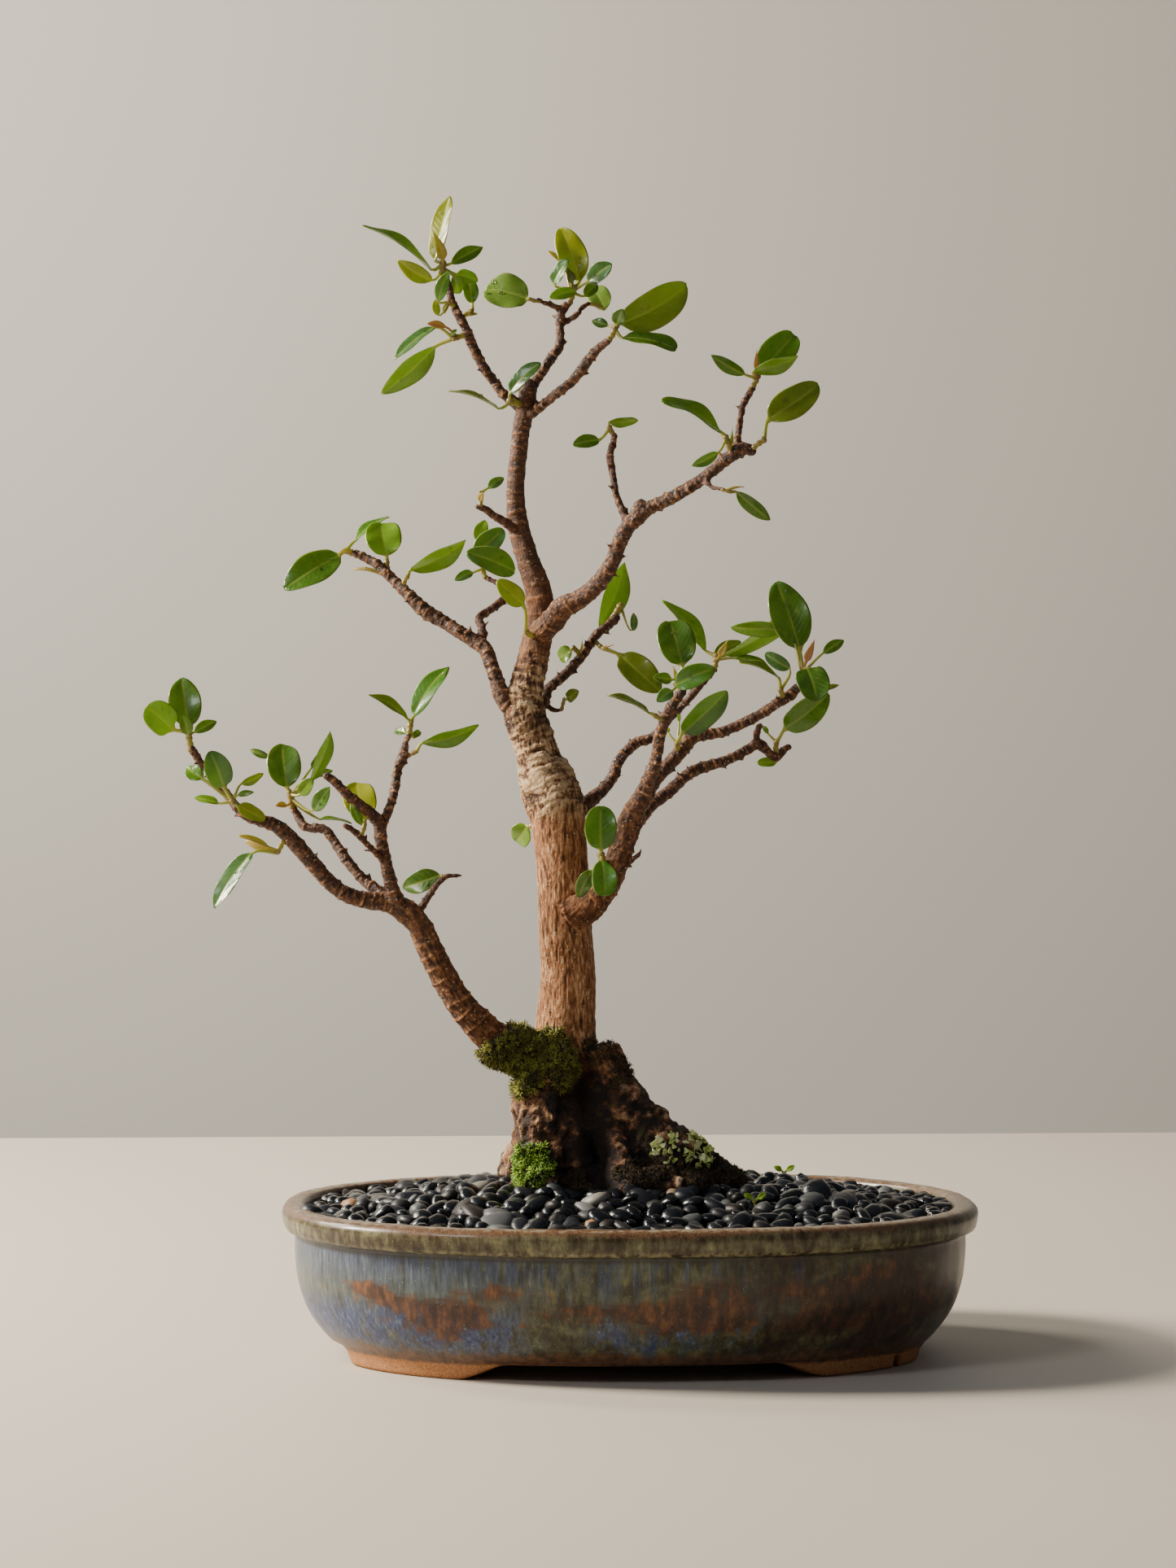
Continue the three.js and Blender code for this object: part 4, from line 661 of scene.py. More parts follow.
# ---------------------------------------------------------------- foliage
# Each shoot: its stem (root inside the wood, tip, radius) and its leaves:
# (heel of the blade, tip, width, turn about the midrib in degrees, form, tone).
SHOOTS = {
    "low_left_tip_shoot": (((-162, -34, 168), (-163, -34, 175), 1.4), [
        ((-169, -35, 176), (-178, -40, 184), 12, 0, "round", "bright"),
        ((-163, -33, 177), (-166, -28, 195), 12, 0, "oval", "dark"),
        ((-161, -32, 175), (-153, -29, 179), 4.5, 0, "small", "dark"),
        ((-163, -37, 174), (-165, -39, 181), 5, 0, "small", "bright")]),
    "low_left_bud_shoot": (((-146, -31, 148), (-147, -37, 150), 1.3), [
        ((-150, -37, 155), (-155, -40, 168), 10, 0, "oval", "teal"),
        ((-144, -33, 156), (-136, -30, 160), 4, 50, "lance", "olive"),
        ((-145, -38, 152), (-139, -40, 153), 2.5, 0, "small", "green"),
        ((-152, -36, 149), (-161, -35, 151), 4.5, 30, "lance", "bright"),
        ((-145, -37, 148), (-135, -36, 143), 6, -10, "oval", "yellow"),
        ((-158, -35, 158), (-164, -31, 162), 6, 0, "oval", "green")]),
    "low_left_hanging_leaf": (((-128, -28, 137), (-131, -29, 131), 1.2), [
        ((-140, -32, 131), (-154, -38, 111), 9.5, 35, "lance", "teal"),
        ((-134, -31, 133), (-145, -35, 137), 4, 45, "small", "bud"),
        ((-133, -29, 132), (-143, -26, 135), 3.5, -45, "lance", "bud")]),
    "low_left_middle_shoot": (((-126, -5, 147), (-127, -6, 153), 1.3), [
        ((-128, -6, 155), (-130, 3, 171), 13, 0, "oval", "dark"),
        ((-119, -9, 157), (-112, -13, 176), 8, 55, "lance", "teal"),
        ((-123, -10, 152), (-118, -13, 158), 5.5, 0, "small", "bright"),
        ((-119, -1, 162), (-115, 0, 168), 3, 0, "small", "dark"),
        ((-135, 1, 166), (-142, 3, 169), 3, -20, "small", "dark"),
        ((-118, -12, 146), (-112, -18, 155), 6, 0, "lance", "glossy"),
        ((-118, 1, 159), (-111, 2, 161), 3, 0, "lance", "teal"),
        ((-116, -5, 143), (-104, -2, 141), 4.5, -60, "lance", "green"),
        ((-128, -9, 148), (-132, -13, 148), 2.5, 0, "lance", "pink")]),
    "low_left_inner_shoot": (((-101, -38, 136), (-99, -36, 141), 1), [
        ((-99, -33, 143), (-102, -20, 157), 12.5, 0, "oval", "yellow"),
        ((-100, -35, 141), (-104, -33, 149), 3.5, 0, "lance", "green")]),
    "low_left_top_shoot": (((-83, -18, 173), (-82, -17, 179), 1.2), [
        ((-81, -16, 181), (-68, -11, 200), 9, -25, "lance", "glossy"),
        ((-83, -20, 180), (-98, -23, 189), 6.5, 40, "lance", "olive"),
        ((-84, -15, 175), (-88, -9, 176), 4, 0, "small", "dark"),
        ((-81, -16, 173), (-79, -11, 176), 3, 0, "lance", "dark")]),
    "low_left_top_side_leaf": (((-85, -21, 165), (-80, -22, 168), 1), [
        ((-78, -23, 171), (-57, -29, 177), 8, 60, "lance", "green")]),
    "low_left_twig_leaf": (((-68, -12, 122), (-69, -8, 121), 0.9), [
        ((-71, -7, 122), (-85, 0, 117), 9, 0, "lance", "dark")]),
    "upper_left_tip_shoot": (((-102, 25, 243), (-107, 26, 245), 1.3), [
        ((-109, 24, 243), (-130, 18, 230), 13.5, 10, "oval", "dark"),
        ((-103, 30, 249), (-90, 38, 259), 6, -40, "lance", "glossy"),
        ((-104, 24, 245), (-109, 23, 244), 2, 0, "lance", "bud")]),
    "upper_left_fold_leaf": (((-90, 21, 236), (-91, 22, 241), 1.1), [
        ((-91, 22, 243), (-93, 29, 256), 14, 0, "round", "bright"),
        ((-93, 24, 236), (-104, 27, 238), 4, 55, "lance", "bud")]),
    "upper_left_arch_leaf": (((-85, 18, 230), (-83, 17, 235), 1.1), [
        ((-82, 17, 237), (-61, 10, 248), 10, 60, "lance", "bright")]),
    "upper_left_back_shoot": (((-53, 34, 235), (-54, 34, 240), 1.1), [
        ((-56, 40, 249), (-53, 43, 258), 5.5, 0, "lance", "bright"),
        ((-57, 35, 244), (-46, 39, 254), 9, 0, "oval", "teal"),
        ((-42, 26, 237), (-61, 21, 244), 10.5, 0, "oval", "teal"),
        ((-58, 32, 237), (-65, 30, 234), 4, 0, "small", "teal")]),
    "trunk_front_leaf": (((-35, 3, 211), (-39, -3, 213), 1.2), [
        ((-40, -5, 223), (-50, -8, 232), 8, 0, "oval", "yellow")]),
    "trunk_spur_shoot": (((-56, 0, 260), (-56, 0, 265), 1), [
        ((-53, 1, 267), (-47, 3, 271), 4, 0, "small", "teal"),
        ((-56, 0, 262), (-55, -4, 265), 2.5, 0, "lance", "bud")]),
    "crown_left_shoot": (((-70, -8, 345), (-70, -9, 350), 1.3), [
        ((-73, -8, 351), (-67, -1, 376), 10, -40, "lance", "yellow"),
        ((-74, -10, 347), (-100, -16, 363), 12, 55, "lance", "dark"),
        ((-70, -11, 351), (-74, -13, 361), 4, 0, "spear", "bud"),
        ((-67, -7, 350), (-55, -4, 357), 6, 0, "lance", "dark"),
        ((-74, -11, 343), (-87, -14, 350), 6.5, -30, "lance", "yellow"),
        ((-65, -6, 346), (-57, -3, 344), 5.5, 0, "oval", "bright"),
        ((-66, -9, 345), (-64, -4, 339), 5, 0, "oval", "bright")]),
    "crown_left_front_leaf": (((-66, -8, 334), (-68, -12, 335), 1), [
        ((-72, -13, 335), (-68, -17, 346), 5, 0, "lance", "glossy"),
        ((-72, -12, 330), (-73, -11, 336), 3, 0, "small", "yellow"),
        ((-70, -11, 331), (-68, -12, 335), 2, 0, "lance", "yellow")]),
    "crown_left_dark_leaf": (((-63, -6, 330), (-59, -4, 333), 1), [
        ((-59, -2, 336), (-61, 2, 346), 6, 0, "oval", "dark"),
        ((-60, -7, 331), (-57, -1, 332), 1.5, 0, "spear", "bud")]),
    "crown_left_low_shoot": (((-61, -5, 324), (-66, -8, 322), 1.3), [
        ((-73, -10, 326), (-88, -14, 313), 7, 35, "lance", "teal"),
        ((-73, -6, 319), (-93, 2, 302), 10, -45, "lance", "bright"),
        ((-67, -9, 323), (-65, -11, 325), 2, 0, "lance", "green"),
        ((-69, -10, 326), (-76, -12, 327), 3, 0, "lance", "pink")]),
    "crown_fork_leaves": (((-40, 2, 298), (-45, -5, 299), 1.4), [
        ((-45, -7, 302), (-34, -11, 313), 7, -20, "oval", "teal"),
        ((-49, -7, 296), (-68, -11, 303), 7.5, 60, "lance", "olive")]),
    "crown_round_leaf": (((-33, 10, 338.5), (-37, 9, 339), 0.9), [
        ((-38, 9, 339), (-54, 14, 343), 14, 0, "round", "pale")]),
    "crown_middle_shoot": (((-22, 14, 338), (-20, 13, 344), 1.4), [
        ((-18, 15, 347), (-25, 21, 368), 11.5, 0, "oval", "yellow"),
        ((-28, 11, 345), (-23, 8, 354), 6.5, -30, "oval", "teal"),
        ((-15, 11, 346), (-6, 6, 352), 7.5, 0, "oval", "teal"),
        ((-20, 9, 342), (-30, 6, 339), 5, 0, "oval", "bright"),
        ((-16, 15, 341), (-11, 18, 346), 5, 0, "small", "dark"),
        ((-21, 11, 346), (-23, 8, 351), 3.5, 0, "spear", "purple"),
        ((-25, 20, 355), (-30, 22, 359), 2.5, 25, "lance", "bud")]),
    "crown_middle_side_leaf": (((-15, 21, 339), (-10, 22, 338), 0.9), [
        ((-8, 23, 337), (-13, 33, 347), 9, 0, "oval", "pale")]),
    "crown_right_shoot": (((-9, -20, 320), (-6, -19, 326), 1.3), [
        ((-4, -17, 327), (21, -11, 342), 15, 35, "oval", "olive"),
        ((-6, -21, 326), (-4, -26, 331), 5.5, 0, "small", "dark"),
        ((-9, -17, 326), (-15, -15, 328), 4, 0, "small", "teal"),
        ((-4, -21, 321), (16, -26, 317), 10, -35, "blunt", "dark")]),
    "upper_right_top_shoot": (((43, -26, 301), (46, -25, 307), 1.3), [
        ((47, -24, 309), (60, -20, 323), 12.5, 0, "round", "green"),
        ((44, -29, 308), (60, -35, 313), 7.5, 60, "lance", "bright"),
        ((41, -27, 307), (28, -31, 314), 5.5, -45, "lance", "dark"),
        ((45, -29, 309), (45, -32, 316), 2, 0, "spear", "pink")]),
    "upper_right_side_leaf": (((42, -35, 278), (47, -37, 282), 1.2), [
        ((49, -35, 290), (68, -30, 303), 12, 0, "oval", "olive")]),
    "upper_right_left_shoot": (((35, -34, 276), (33, -37, 283), 1.3), [
        ((31, -37, 285), (9, -42, 296), 13, 45, "oval", "dark"),
        ((30, -40, 277), (20, -42, 272), 4.5, -40, "lance", "teal"),
        ((35, -32, 279), (36, -31, 287), 1.5, 0, "spear", "green")]),
    "upper_right_low_leaf": (((31.5, -36.5, 264), (35, -37, 263), 0.8), [
        ((37, -36, 263), (50, -32, 253), 6, 40, "lance", "dark"),
        ((34, -36, 264), (40, -35, 265), 1, 0, "spear", "bud")]),
    "upper_right_inner_shoot": (((-6, -10, 285), (-8, -10, 289), 1.1), [
        ((-8, -9, 291), (3, -6, 292), 5, 60, "lance", "bright"),
        ((-12, -11, 284), (-22, -13, 282), 5.5, 0, "oval", "dark")]),
    "short_right_shoot": (((-4, 33, 219), (-1, 35, 225), 1.4), [
        ((-9, 39, 216), (1, 46, 242), 11, 35, "lance", "bright"),
        ((4, 37, 215), (4, 38, 222), 3, 0, "small", "teal")]),
    "short_right_round_leaf": (((-17, 23, 204), (-20, 20, 208), 1), [
        ((-21, 20, 207), (-25, 25, 204), 6.5, 0, "round", "bright"),
        ((-17, 22, 207), (-17, 17, 211), 1, 0, "spear", "bud")]),
    "short_right_side_leaf": (((-12, 27, 211), (-9, 24, 208), 1), [
        ((-2, 22, 205), (13, 16, 191), 12, 0, "oval", "olive"),
        ((-8, 25, 208), (-5, 21, 209), 1, 0, "spear", "pink")]),
    "short_right_bud_leaf": (((-25, 10, 184), (-24, 9, 188), 0.8), [
        ((-23, 8, 188), (-19, 3, 191), 5, 0, "oval", "olive")]),
    "low_right_front_shoot": (((17, -39, 189), (17, -38, 196), 1.4), [
        ((17, -37, 200), (13, -30, 216), 14, 0, "round", "dark"),
        ((13, -41, 194), (6, -43, 195), 4.5, 0, "small", "dark"),
        ((14, -44, 192), (28, -48, 198), 8.5, 10, "oval", "glossy"),
        ((13, -44, 190), (7, -46, 186), 5, 0, "small", "teal"),
        ((15, -40, 194), (13, -46, 199), 2, 0, "spear", "bud")]),
    "low_right_arch_leaf": (((11, -36, 179), (7, -38, 181), 1), [
        ((5, -39, 182), (-11, -41, 188), 8, 55, "lance", "olive")]),
    "low_right_rear_leaf": (((17, -20, 168), (16, -26, 171), 1.1), [
        ((18, -28, 175), (34, -34, 190), 11, 40, "oval", "teal"),
        ((13, -23, 175), (13, -21, 177), 1.5, 0, "lance", "green"),
        ((17, -23, 179), (17, -21, 182), 1.5, 0, "lance", "green")]),
    "rear_right_shoot": (((34, 25, 199), (35, 25, 205), 1.3), [
        ((31, 27, 207), (15, 34, 227), 9.5, 35, "lance", "bright"),
        ((38, 24, 205), (69, 22, 225), 11, 65, "lance", "bright"),
        ((34, 28, 205), (45, 31, 211), 6, 0, "lance", "olive"),
        ((42, 21, 204), (54, 18, 201), 5, -30, "lance", "dark"),
        ((36, 22, 205), (39, 20, 211), 3, 0, "spear", "bud")]),
    "low_right_tip_shoot": (((62, -13, 191), (64, -13, 198), 1.4), [
        ((63, -9, 207), (55, -2, 232), 15, 0, "oval", "dark"),
        ((58, -6, 214), (38, 0, 215), 6.5, -40, "lance", "bright"),
        ((72, -10, 205), (80, -8, 210), 4.5, 0, "small", "dark"),
        ((65, -17, 199), (68, -26, 187), 12.5, 0, "round", "dark"),
        ((65, -16, 202), (68, -18, 210), 3, 0, "spear", "pink"),
        ((72, -11, 191), (78, -10, 193), 2, 0, "lance", "olive")]),
    "low_right_fold_leaves": (((57, -14, 188), (55, -19, 191), 1.1), [
        ((54, -19, 196), (39, -22, 201), 8.5, 55, "oval", "olive"),
        ((59, -14, 199), (50, -11, 205), 5.5, -25, "oval", "teal")]),
    "under_branch_leaf": (((56, 6, 167), (56, 4, 172), 1.1), [
        ((59, 2, 177), (75, -4, 190), 11, 15, "oval", "green"),
        ((53, 7, 175), (51, 9, 178), 2, 0, "lance", "green"),
        ((56, 7, 164), (49, 9, 164), 4, 0, "oval", "bright")]),
    "fork_front_leaves": (((-10, -16, 121), (-12, -24, 130), 1.4), [
        ((-12, -25, 132), (-12, -24, 148), 12, 0, "round", "glossy"),
        ((-12, -27, 128), (-11, -33, 115), 9.5, 0, "blunt", "glossy"),
        ((-15, -21, 124), (-20, -18, 114), 6, 0, "oval", "dark")]),
    "trunk_left_leaf": (((-33, 5, 140), (-37, 11, 140), 1), [
        ((-38, 12, 140), (-42, 19, 134), 9, 0, "round", "bright")]),
}
# How full a blade is towards its heel and its tip.
FORMS = {"lance": (0.72, 0.85), "oval": (0.5, 0.62), "round": (0.4, 0.44), "blunt": (0.62, 0.4),
         "spear": (0.35, 1.15), "small": (0.6, 0.75)}
TONES = {
    "bright": (0.17, 0.34, 0.010), "dark": (0.038, 0.120, 0.008), "yellow": (0.33, 0.34, 0.012),
    "teal": (0.045, 0.150, 0.040), "olive": (0.145, 0.175, 0.009), "green": (0.085, 0.225, 0.008),
    "glossy": (0.065, 0.215, 0.018), "pale": (0.17, 0.29, 0.045), "bud": (0.62, 0.40, 0.08),
    "pink": (0.60, 0.17, 0.09), "purple": (0.055, 0.018, 0.030)}
BUDS = ("bud", "pink", "purple")
SEEDLINGS = [(39, 28, 0), (64, 55, -2), (43, -44, -2)]  # sprouts between the pebbles
BLADE_COLUMNS = np.array([1, 0.9, 0.66, 0.34, 0.08, 0, -0.08, -0.34, -0.66, -0.9, -1])
BLADE_RINGS = 22
PETIOLE_RINGS = 5
PETIOLE_RADIUS = 0.75
BLADE_THICKNESS = 0.42
LIGHT = np.array([0, -1, 0.3])  # the way most blades face
FOLD = 0.13  # rise of the blade's halves from the midrib, as a share of the half width
CUP = 0.1  # how far the edges curl up, as a share of the half width
ARCH = 0.06  # bow of the blade along its length
SHINE_THROUGH = 0.38
STEM_TINT = (0.30, 0.20, 0.07)
HALF = len(BLADE_COLUMNS) - 1
AROUND = 2 * HALF
ring_share = np.concatenate([BLADE_COLUMNS, BLADE_COLUMNS[-2:0:-1]])
ring_under = np.concatenate([[0.5], np.zeros(HALF - 1), [0.5], np.ones(HALF - 1)])
ring_angle = np.arange(AROUND) * 2 * math.pi / AROUND


def unit(vector):
    return vector / np.linalg.norm(vector)


def raised(point):
    return np.array(point, float) + [0, 0, RIM]


def turned(vector, axis, degrees):
    """The vector turned about an axis through the origin."""
    angle = math.radians(degrees)
    return (vector * math.cos(angle) + np.cross(axis, vector) * math.sin(angle)
            + axis * axis.dot(vector) * (1 - math.cos(angle)))


def blade_breadth(share, form):
    heel, tip = FORMS[form]
    peak = heel / (heel + tip)
    return (share / peak) ** heel * ((1 - share) / (1 - peak)) ** tip


def leaf_rings(start, row, draw):
    """Rings of one leaf from the stem to its tip, with each point's place on the blade."""
    heel, tip, width, turn, form, tone = row
    heel, tip = raised(heel), raised(tip)
    way = unit(tip - heel)
    face = unit(LIGHT - way * LIGHT.dot(way))
    face = turned(face, way, turn)
    length = np.linalg.norm(tip - heel)
    outward = unit(heel - start)
    droop = draw.uniform(-0.02, 0.05) * length
    phase = draw.uniform(0, 6.3)
    sway = draw.uniform(-0.035, 0.035) * length
    side_way = unit(np.cross(face, way))
    small = tone in BUDS
    rings, place, shape = [], [], []
    gap = np.linalg.norm(heel - start)
    radius = PETIOLE_RADIUS * (0.7 if small else min(1, 0.55 + width / 25))
    for i in range(PETIOLE_RINGS):
        t = i / PETIOLE_RINGS
        bow = (2 * t ** 3 - 3 * t ** 2 + 1, t ** 3 - 2 * t ** 2 + t, -2 * t ** 3 + 3 * t ** 2,
               t ** 3 - t ** 2)
        centre = bow[0] * start + bow[1] * outward * gap + bow[2] * heel
        centre = centre + bow[3] * unit(outward + way) * gap
        along = unit(outward * (1 - t) + unit(outward + way) * t)
        up = unit(face - along * face.dot(along))
        side = np.cross(up, along)
        thick = radius * (1.25 - 0.45 * t)
        rings.append(centre + thick * (np.cos(ring_angle)[:, None] * side + np.sin(ring_angle)[:,
                                                                                               None] * up))
        place.append(np.column_stack([ring_share * thick, np.full(AROUND, (t - 1) * gap), ring_under]))
        shape.append(np.column_stack([ring_share * 0, np.full(AROUND, t - 1), np.full(AROUND, width)]))
    for i in range(BLADE_RINGS + 1):
        t = min(0.015 + 0.975 * i / BLADE_RINGS, 0.99)
        half = blade_breadth(t, form) * width / 2
        half = max(half, radius * 0.8 * (1 - t), 0.12)
        bend = ARCH * length * math.sin(math.pi * t) - droop * t * t
        centre = heel + way * length * t + face * bend + side_way * sway * math.sin(math.pi * t)
        climb = ARCH * length * math.pi * math.cos(math.pi * t) - 2 * droop * t
        tangent = unit(way * length + face * climb)
        up = unit(face - tangent * face.dot(tangent))
        side = np.cross(up, tangent)
        spread = np.abs(ring_share)
        opening = eased(t, 0, 0.12)
        lift = half * (FOLD * spread + CUP * spread ** 2) * opening
        ripple = np.sin(phase + 9 * t + 2.2 * ring_share)
        lift += 0.045 * width * spread ** 2 * ripple * opening * (not small)
        plump = 1.9 if small else 1
        edge = np.sqrt(np.clip(1 - spread ** 3, 0, 1))
        thick = plump * BLADE_THICKNESS / 2 * edge
        stem = max(0.5 * radius * (1 - t), 0.06)
        ridge = stem * np.exp(-((ring_share * half) / (0.5 + 0.2 * (1 - t))) ** 2)
        top = np.where(ring_under < 0.5, 1, np.where(ring_under > 0.5, -1, 0))
        rise = lift + top * thick - np.where(top < 0, ridge * 1.3, ridge * 0.35)
        rings.append(centre + side * (ring_share * half)[:, None] + up * rise[:, None])
        place.append(np.column_stack([ring_share * half, np.full(AROUND, t * length), ring_under]))
        shape.append(np.column_stack([ring_share, np.full(AROUND, t), np.full(AROUND, width)]))
    return np.vstack(rings), np.vstack(place), np.vstack(shape)


def stem_rings(root, tip, radius, draw):
    """A short ringed stem between the wood and its leaves."""
    middle = (raised(root) + raised(tip)) / 2 + np.array([draw.uniform(-0.4, 0.4) for _ in range(3)])
    path = [(*raised(root), radius * 0.9), (*middle, radius * 0.85), (*raised(tip), radius * 0.95)]
    curve = smoothed(path, 0.5)
    curve[:, 3] *= 1 + 0.16 * np.sin(np.arange(len(curve)) * 1.7)
    return tube(curve, AROUND)


def add_shoot(name, stem, rows, material, *stands_for):
    """One shoot as one mesh: its stem, then every leaf with its stalk."""
    root, tip, radius = stem
    draw = random.Random(name)
    points, faces, place, shape, tint = [], [], [], [], []
    first = 0
    stem, rings = stem_rings(root, tip, radius, draw)
    faces += ring_faces(rings, AROUND)
    points.append(stem)
    place.append(np.tile([0, -3.0, 0.0], (len(stem), 1)))
    shape.append(np.tile([0, -2.0, 0.0], (len(stem), 1)))
    tint.append(np.tile([*STEM_TINT, 1], (len(stem), 1)))
    first += len(stem)
    for i, row in enumerate(rows):
        reach = i * 0.08 if np.linalg.norm(raised(row[0]) - raised(tip)) > 1 else 0
        start = raised(tip) + (raised(root) - raised(tip)) * min(reach, 0.6)
        leaf, where, form = leaf_rings(start, row, draw)
        faces += ring_faces(len(leaf) // AROUND, AROUND, first=first)
        first += len(leaf)
        points.append(leaf)
        place.append(where)
        shape.append(form)
        colour = np.array(TONES[row[5]]) * draw.uniform(0.9, 1.12)
        tint.append(np.tile([*colour, 0.2 if row[5] in BUDS else 1], (len(leaf), 1)))
    piece = plain_mesh(name + "_leaves", np.vstack(points) + POT_MIDDLE, faces, material)
    keep(piece.data, "blade", "FLOAT_VECTOR", np.vstack(place))
    keep(piece.data, "shape", "FLOAT_VECTOR", np.vstack(shape))
    keep(piece.data, "tint", "FLOAT_COLOR", np.vstack(tint))
    finished(piece, "leaf", *stands_for)


def leaf_finish():
    finish = Finish("waxy leaf", {"IOR": 1.42, "Coat Weight": 0.35, "Coat Roughness": 0.1})
    across, along, under = finish.parts(finish.attribute("blade"))
    share, reach, _ = finish.parts(finish.attribute("shape"))
    tint = finish.attribute("tint", "Color")
    leafy = finish.attribute("tint", "Alpha")
    place = finish.place()
    grain = finish.noise(place, 0.35, 3)
    fine = finish.noise(place, 3.2, 3)
    on_blade = finish.step(reach, -0.02, 0.04)
    side = abs(across)
    # Side veins leave the midrib at a slant and curve up towards the edge.
    slant = (along - side * 0.75 - side * side * 0.05) / 2.3
    wave = abs(slant.fraction() - 0.5) * 2
    vein = finish.step(wave, 0.8, 0.98) * finish.step(side, 0.2,
                                                      0.9) * (1 - finish.step(abs(share), 0.75, 0.97))
    net = 1 - finish.step(finish.cells(place, 1.15, "DISTANCE_TO_EDGE"), 0.02, 0.12)
    midrib = (1 - finish.step(side, 0.22, 0.62)) * (1 - finish.step(reach, 0.8, 1.0))
    vein = vein * on_blade * leafy
    light = finish.blend(0.55, tint, (0.55, 0.58, 0.12))
    body = finish.blend(0.24 + 0.5 * grain, finish.blend(0.5, tint, (0.02, 0.05, 0.01)), tint)
    body = finish.blend(finish.step(grain, 0.58, 0.78) * 0.35 * leafy, body, (0.32, 0.34, 0.05))
    body = finish.blend(net * 0.10 * leafy, body, light)
    body = finish.blend(vein * 0.16, body, light)
    body = finish.blend(midrib * 0.5 * leafy, body, light)
    edge = finish.step(abs(share), 0.9, 1.0) * leafy
    body = finish.blend(edge * 0.45, body, (0.42, 0.42, 0.10))
    spots = finish.step(finish.cells(place, 0.34), 0.0, 0.06) * leafy
    body = finish.blend((1 - spots) * 0.25 * leafy, body, (0.16, 0.10, 0.03))
    below = finish.blend(0.5, body, (0.26, 0.34, 0.16))
    body = finish.blend(finish.step(under, 0.55, 0.95) * leafy, body, below)
    stalk = finish.ramp(reach * 0.5 + 1, [(0.0, (0.26, 0.13, 0.05)), (0.5, (0.36, 0.30, 0.07)),
                                          (1.0, (0.34, 0.38, 0.07))])
    stalk = finish.blend(0.5 * grain + 0.1, stalk, (0.5, 0.42, 0.12))
    body = finish.blend((1 - on_blade) * finish.step(leafy, 0.5, 0.6), body, stalk)
    height = 0.5 + 0.10 * fine + 0.5 * grain - 0.28 * vein - 0.05 * net * leafy
    rough = 0.20 + 0.25 * under + 0.14 * grain
    finish.surface(base_color=body, roughness=rough, normal=finish.bump(height, 0.16, 0.7))
    # light from behind shines through the blade
    glow = finish.node("ShaderNodeBsdfTranslucent",
                       sockets={"Color": finish.blend(0.55, body, (0.56, 0.76, 0.01))})
    sides = {0: SHINE_THROUGH, 1: Wire(finish, finish.shader.outputs[0]), 2: glow}
    finish.join(finish.node("ShaderNodeMixShader", sockets=sides),
                finish.tree.nodes["Material Output"].inputs["Surface"])
    return finish.material


# ---------------------------------------------------------------- pot
FEET_DEG = (17, 22, 56, 68)  # a foot's ramp and level part, from the pot's end
FOOT_WIDTH = 12
DRAIN_DIAMETER = 18
DRAIN_SPACING = 104
NOTCH_DEG = -33
POT_STEPS = 288
# The rolled lip, from under its overhang to its inner edge: inset from the pot's outline and height.
LIP_PROFILE = [
    (LIP_OVERHANG - 0.1, 45.8), (LIP_OVERHANG - 0.9, 46.5), (2.6, 46.8), (1.5, 47.3), (0.8, 48.3),
    (0.35, 49.8),
    (0.05, 51.5), (0, 52.8), (0.3, 54), (1, 55), (2, 55.7), (3.4, 56), (5, 56.1), (7, 56), (8.2, 55.6),
    (8.9, 54.8),
    (9.2, 53.6), (9.4, 52), (10, 49.5), (10.6, 47)]


def oval(inset, z, steps=POT_STEPS):
    """One level of the pot's outline, drawn in by inset. Both may change around the ring."""
    angle = np.arange(steps) * 2 * math.pi / steps
    power = 2 / OUTLINE_POWER
    x = (POT_LENGTH / 2 - inset) * np.sign(np.cos(angle)) * np.abs(np.cos(angle)) ** power
    y = (POT_DEPTH / 2 - inset) * np.sign(np.sin(angle)) * np.abs(np.sin(angle)) ** power
    return np.column_stack([x, y, np.broadcast_to(z, (steps,))])


def belly_inset(z):
    rise = np.clip((z - FOOT_HEIGHT) / (LIP_BOTTOM - FOOT_HEIGHT), 0, 1)
    return LIP_OVERHANG + (BASE_INSET - LIP_OVERHANG) * (1 - rise) ** BELLY_POWER


def foot_lift(steps=POT_STEPS):
    """Height of the pot's lowest edge around the ring: 0 at the feet."""
    degrees = np.arange(steps) * 360 / steps
    from_end = np.minimum(degrees % 180, 180 - degrees % 180)
    low, start, end, high = FEET_DEG
    up = np.maximum(1 - eased(from_end, low, start), eased(from_end, end, high))
    return up * FOOT_HEIGHT


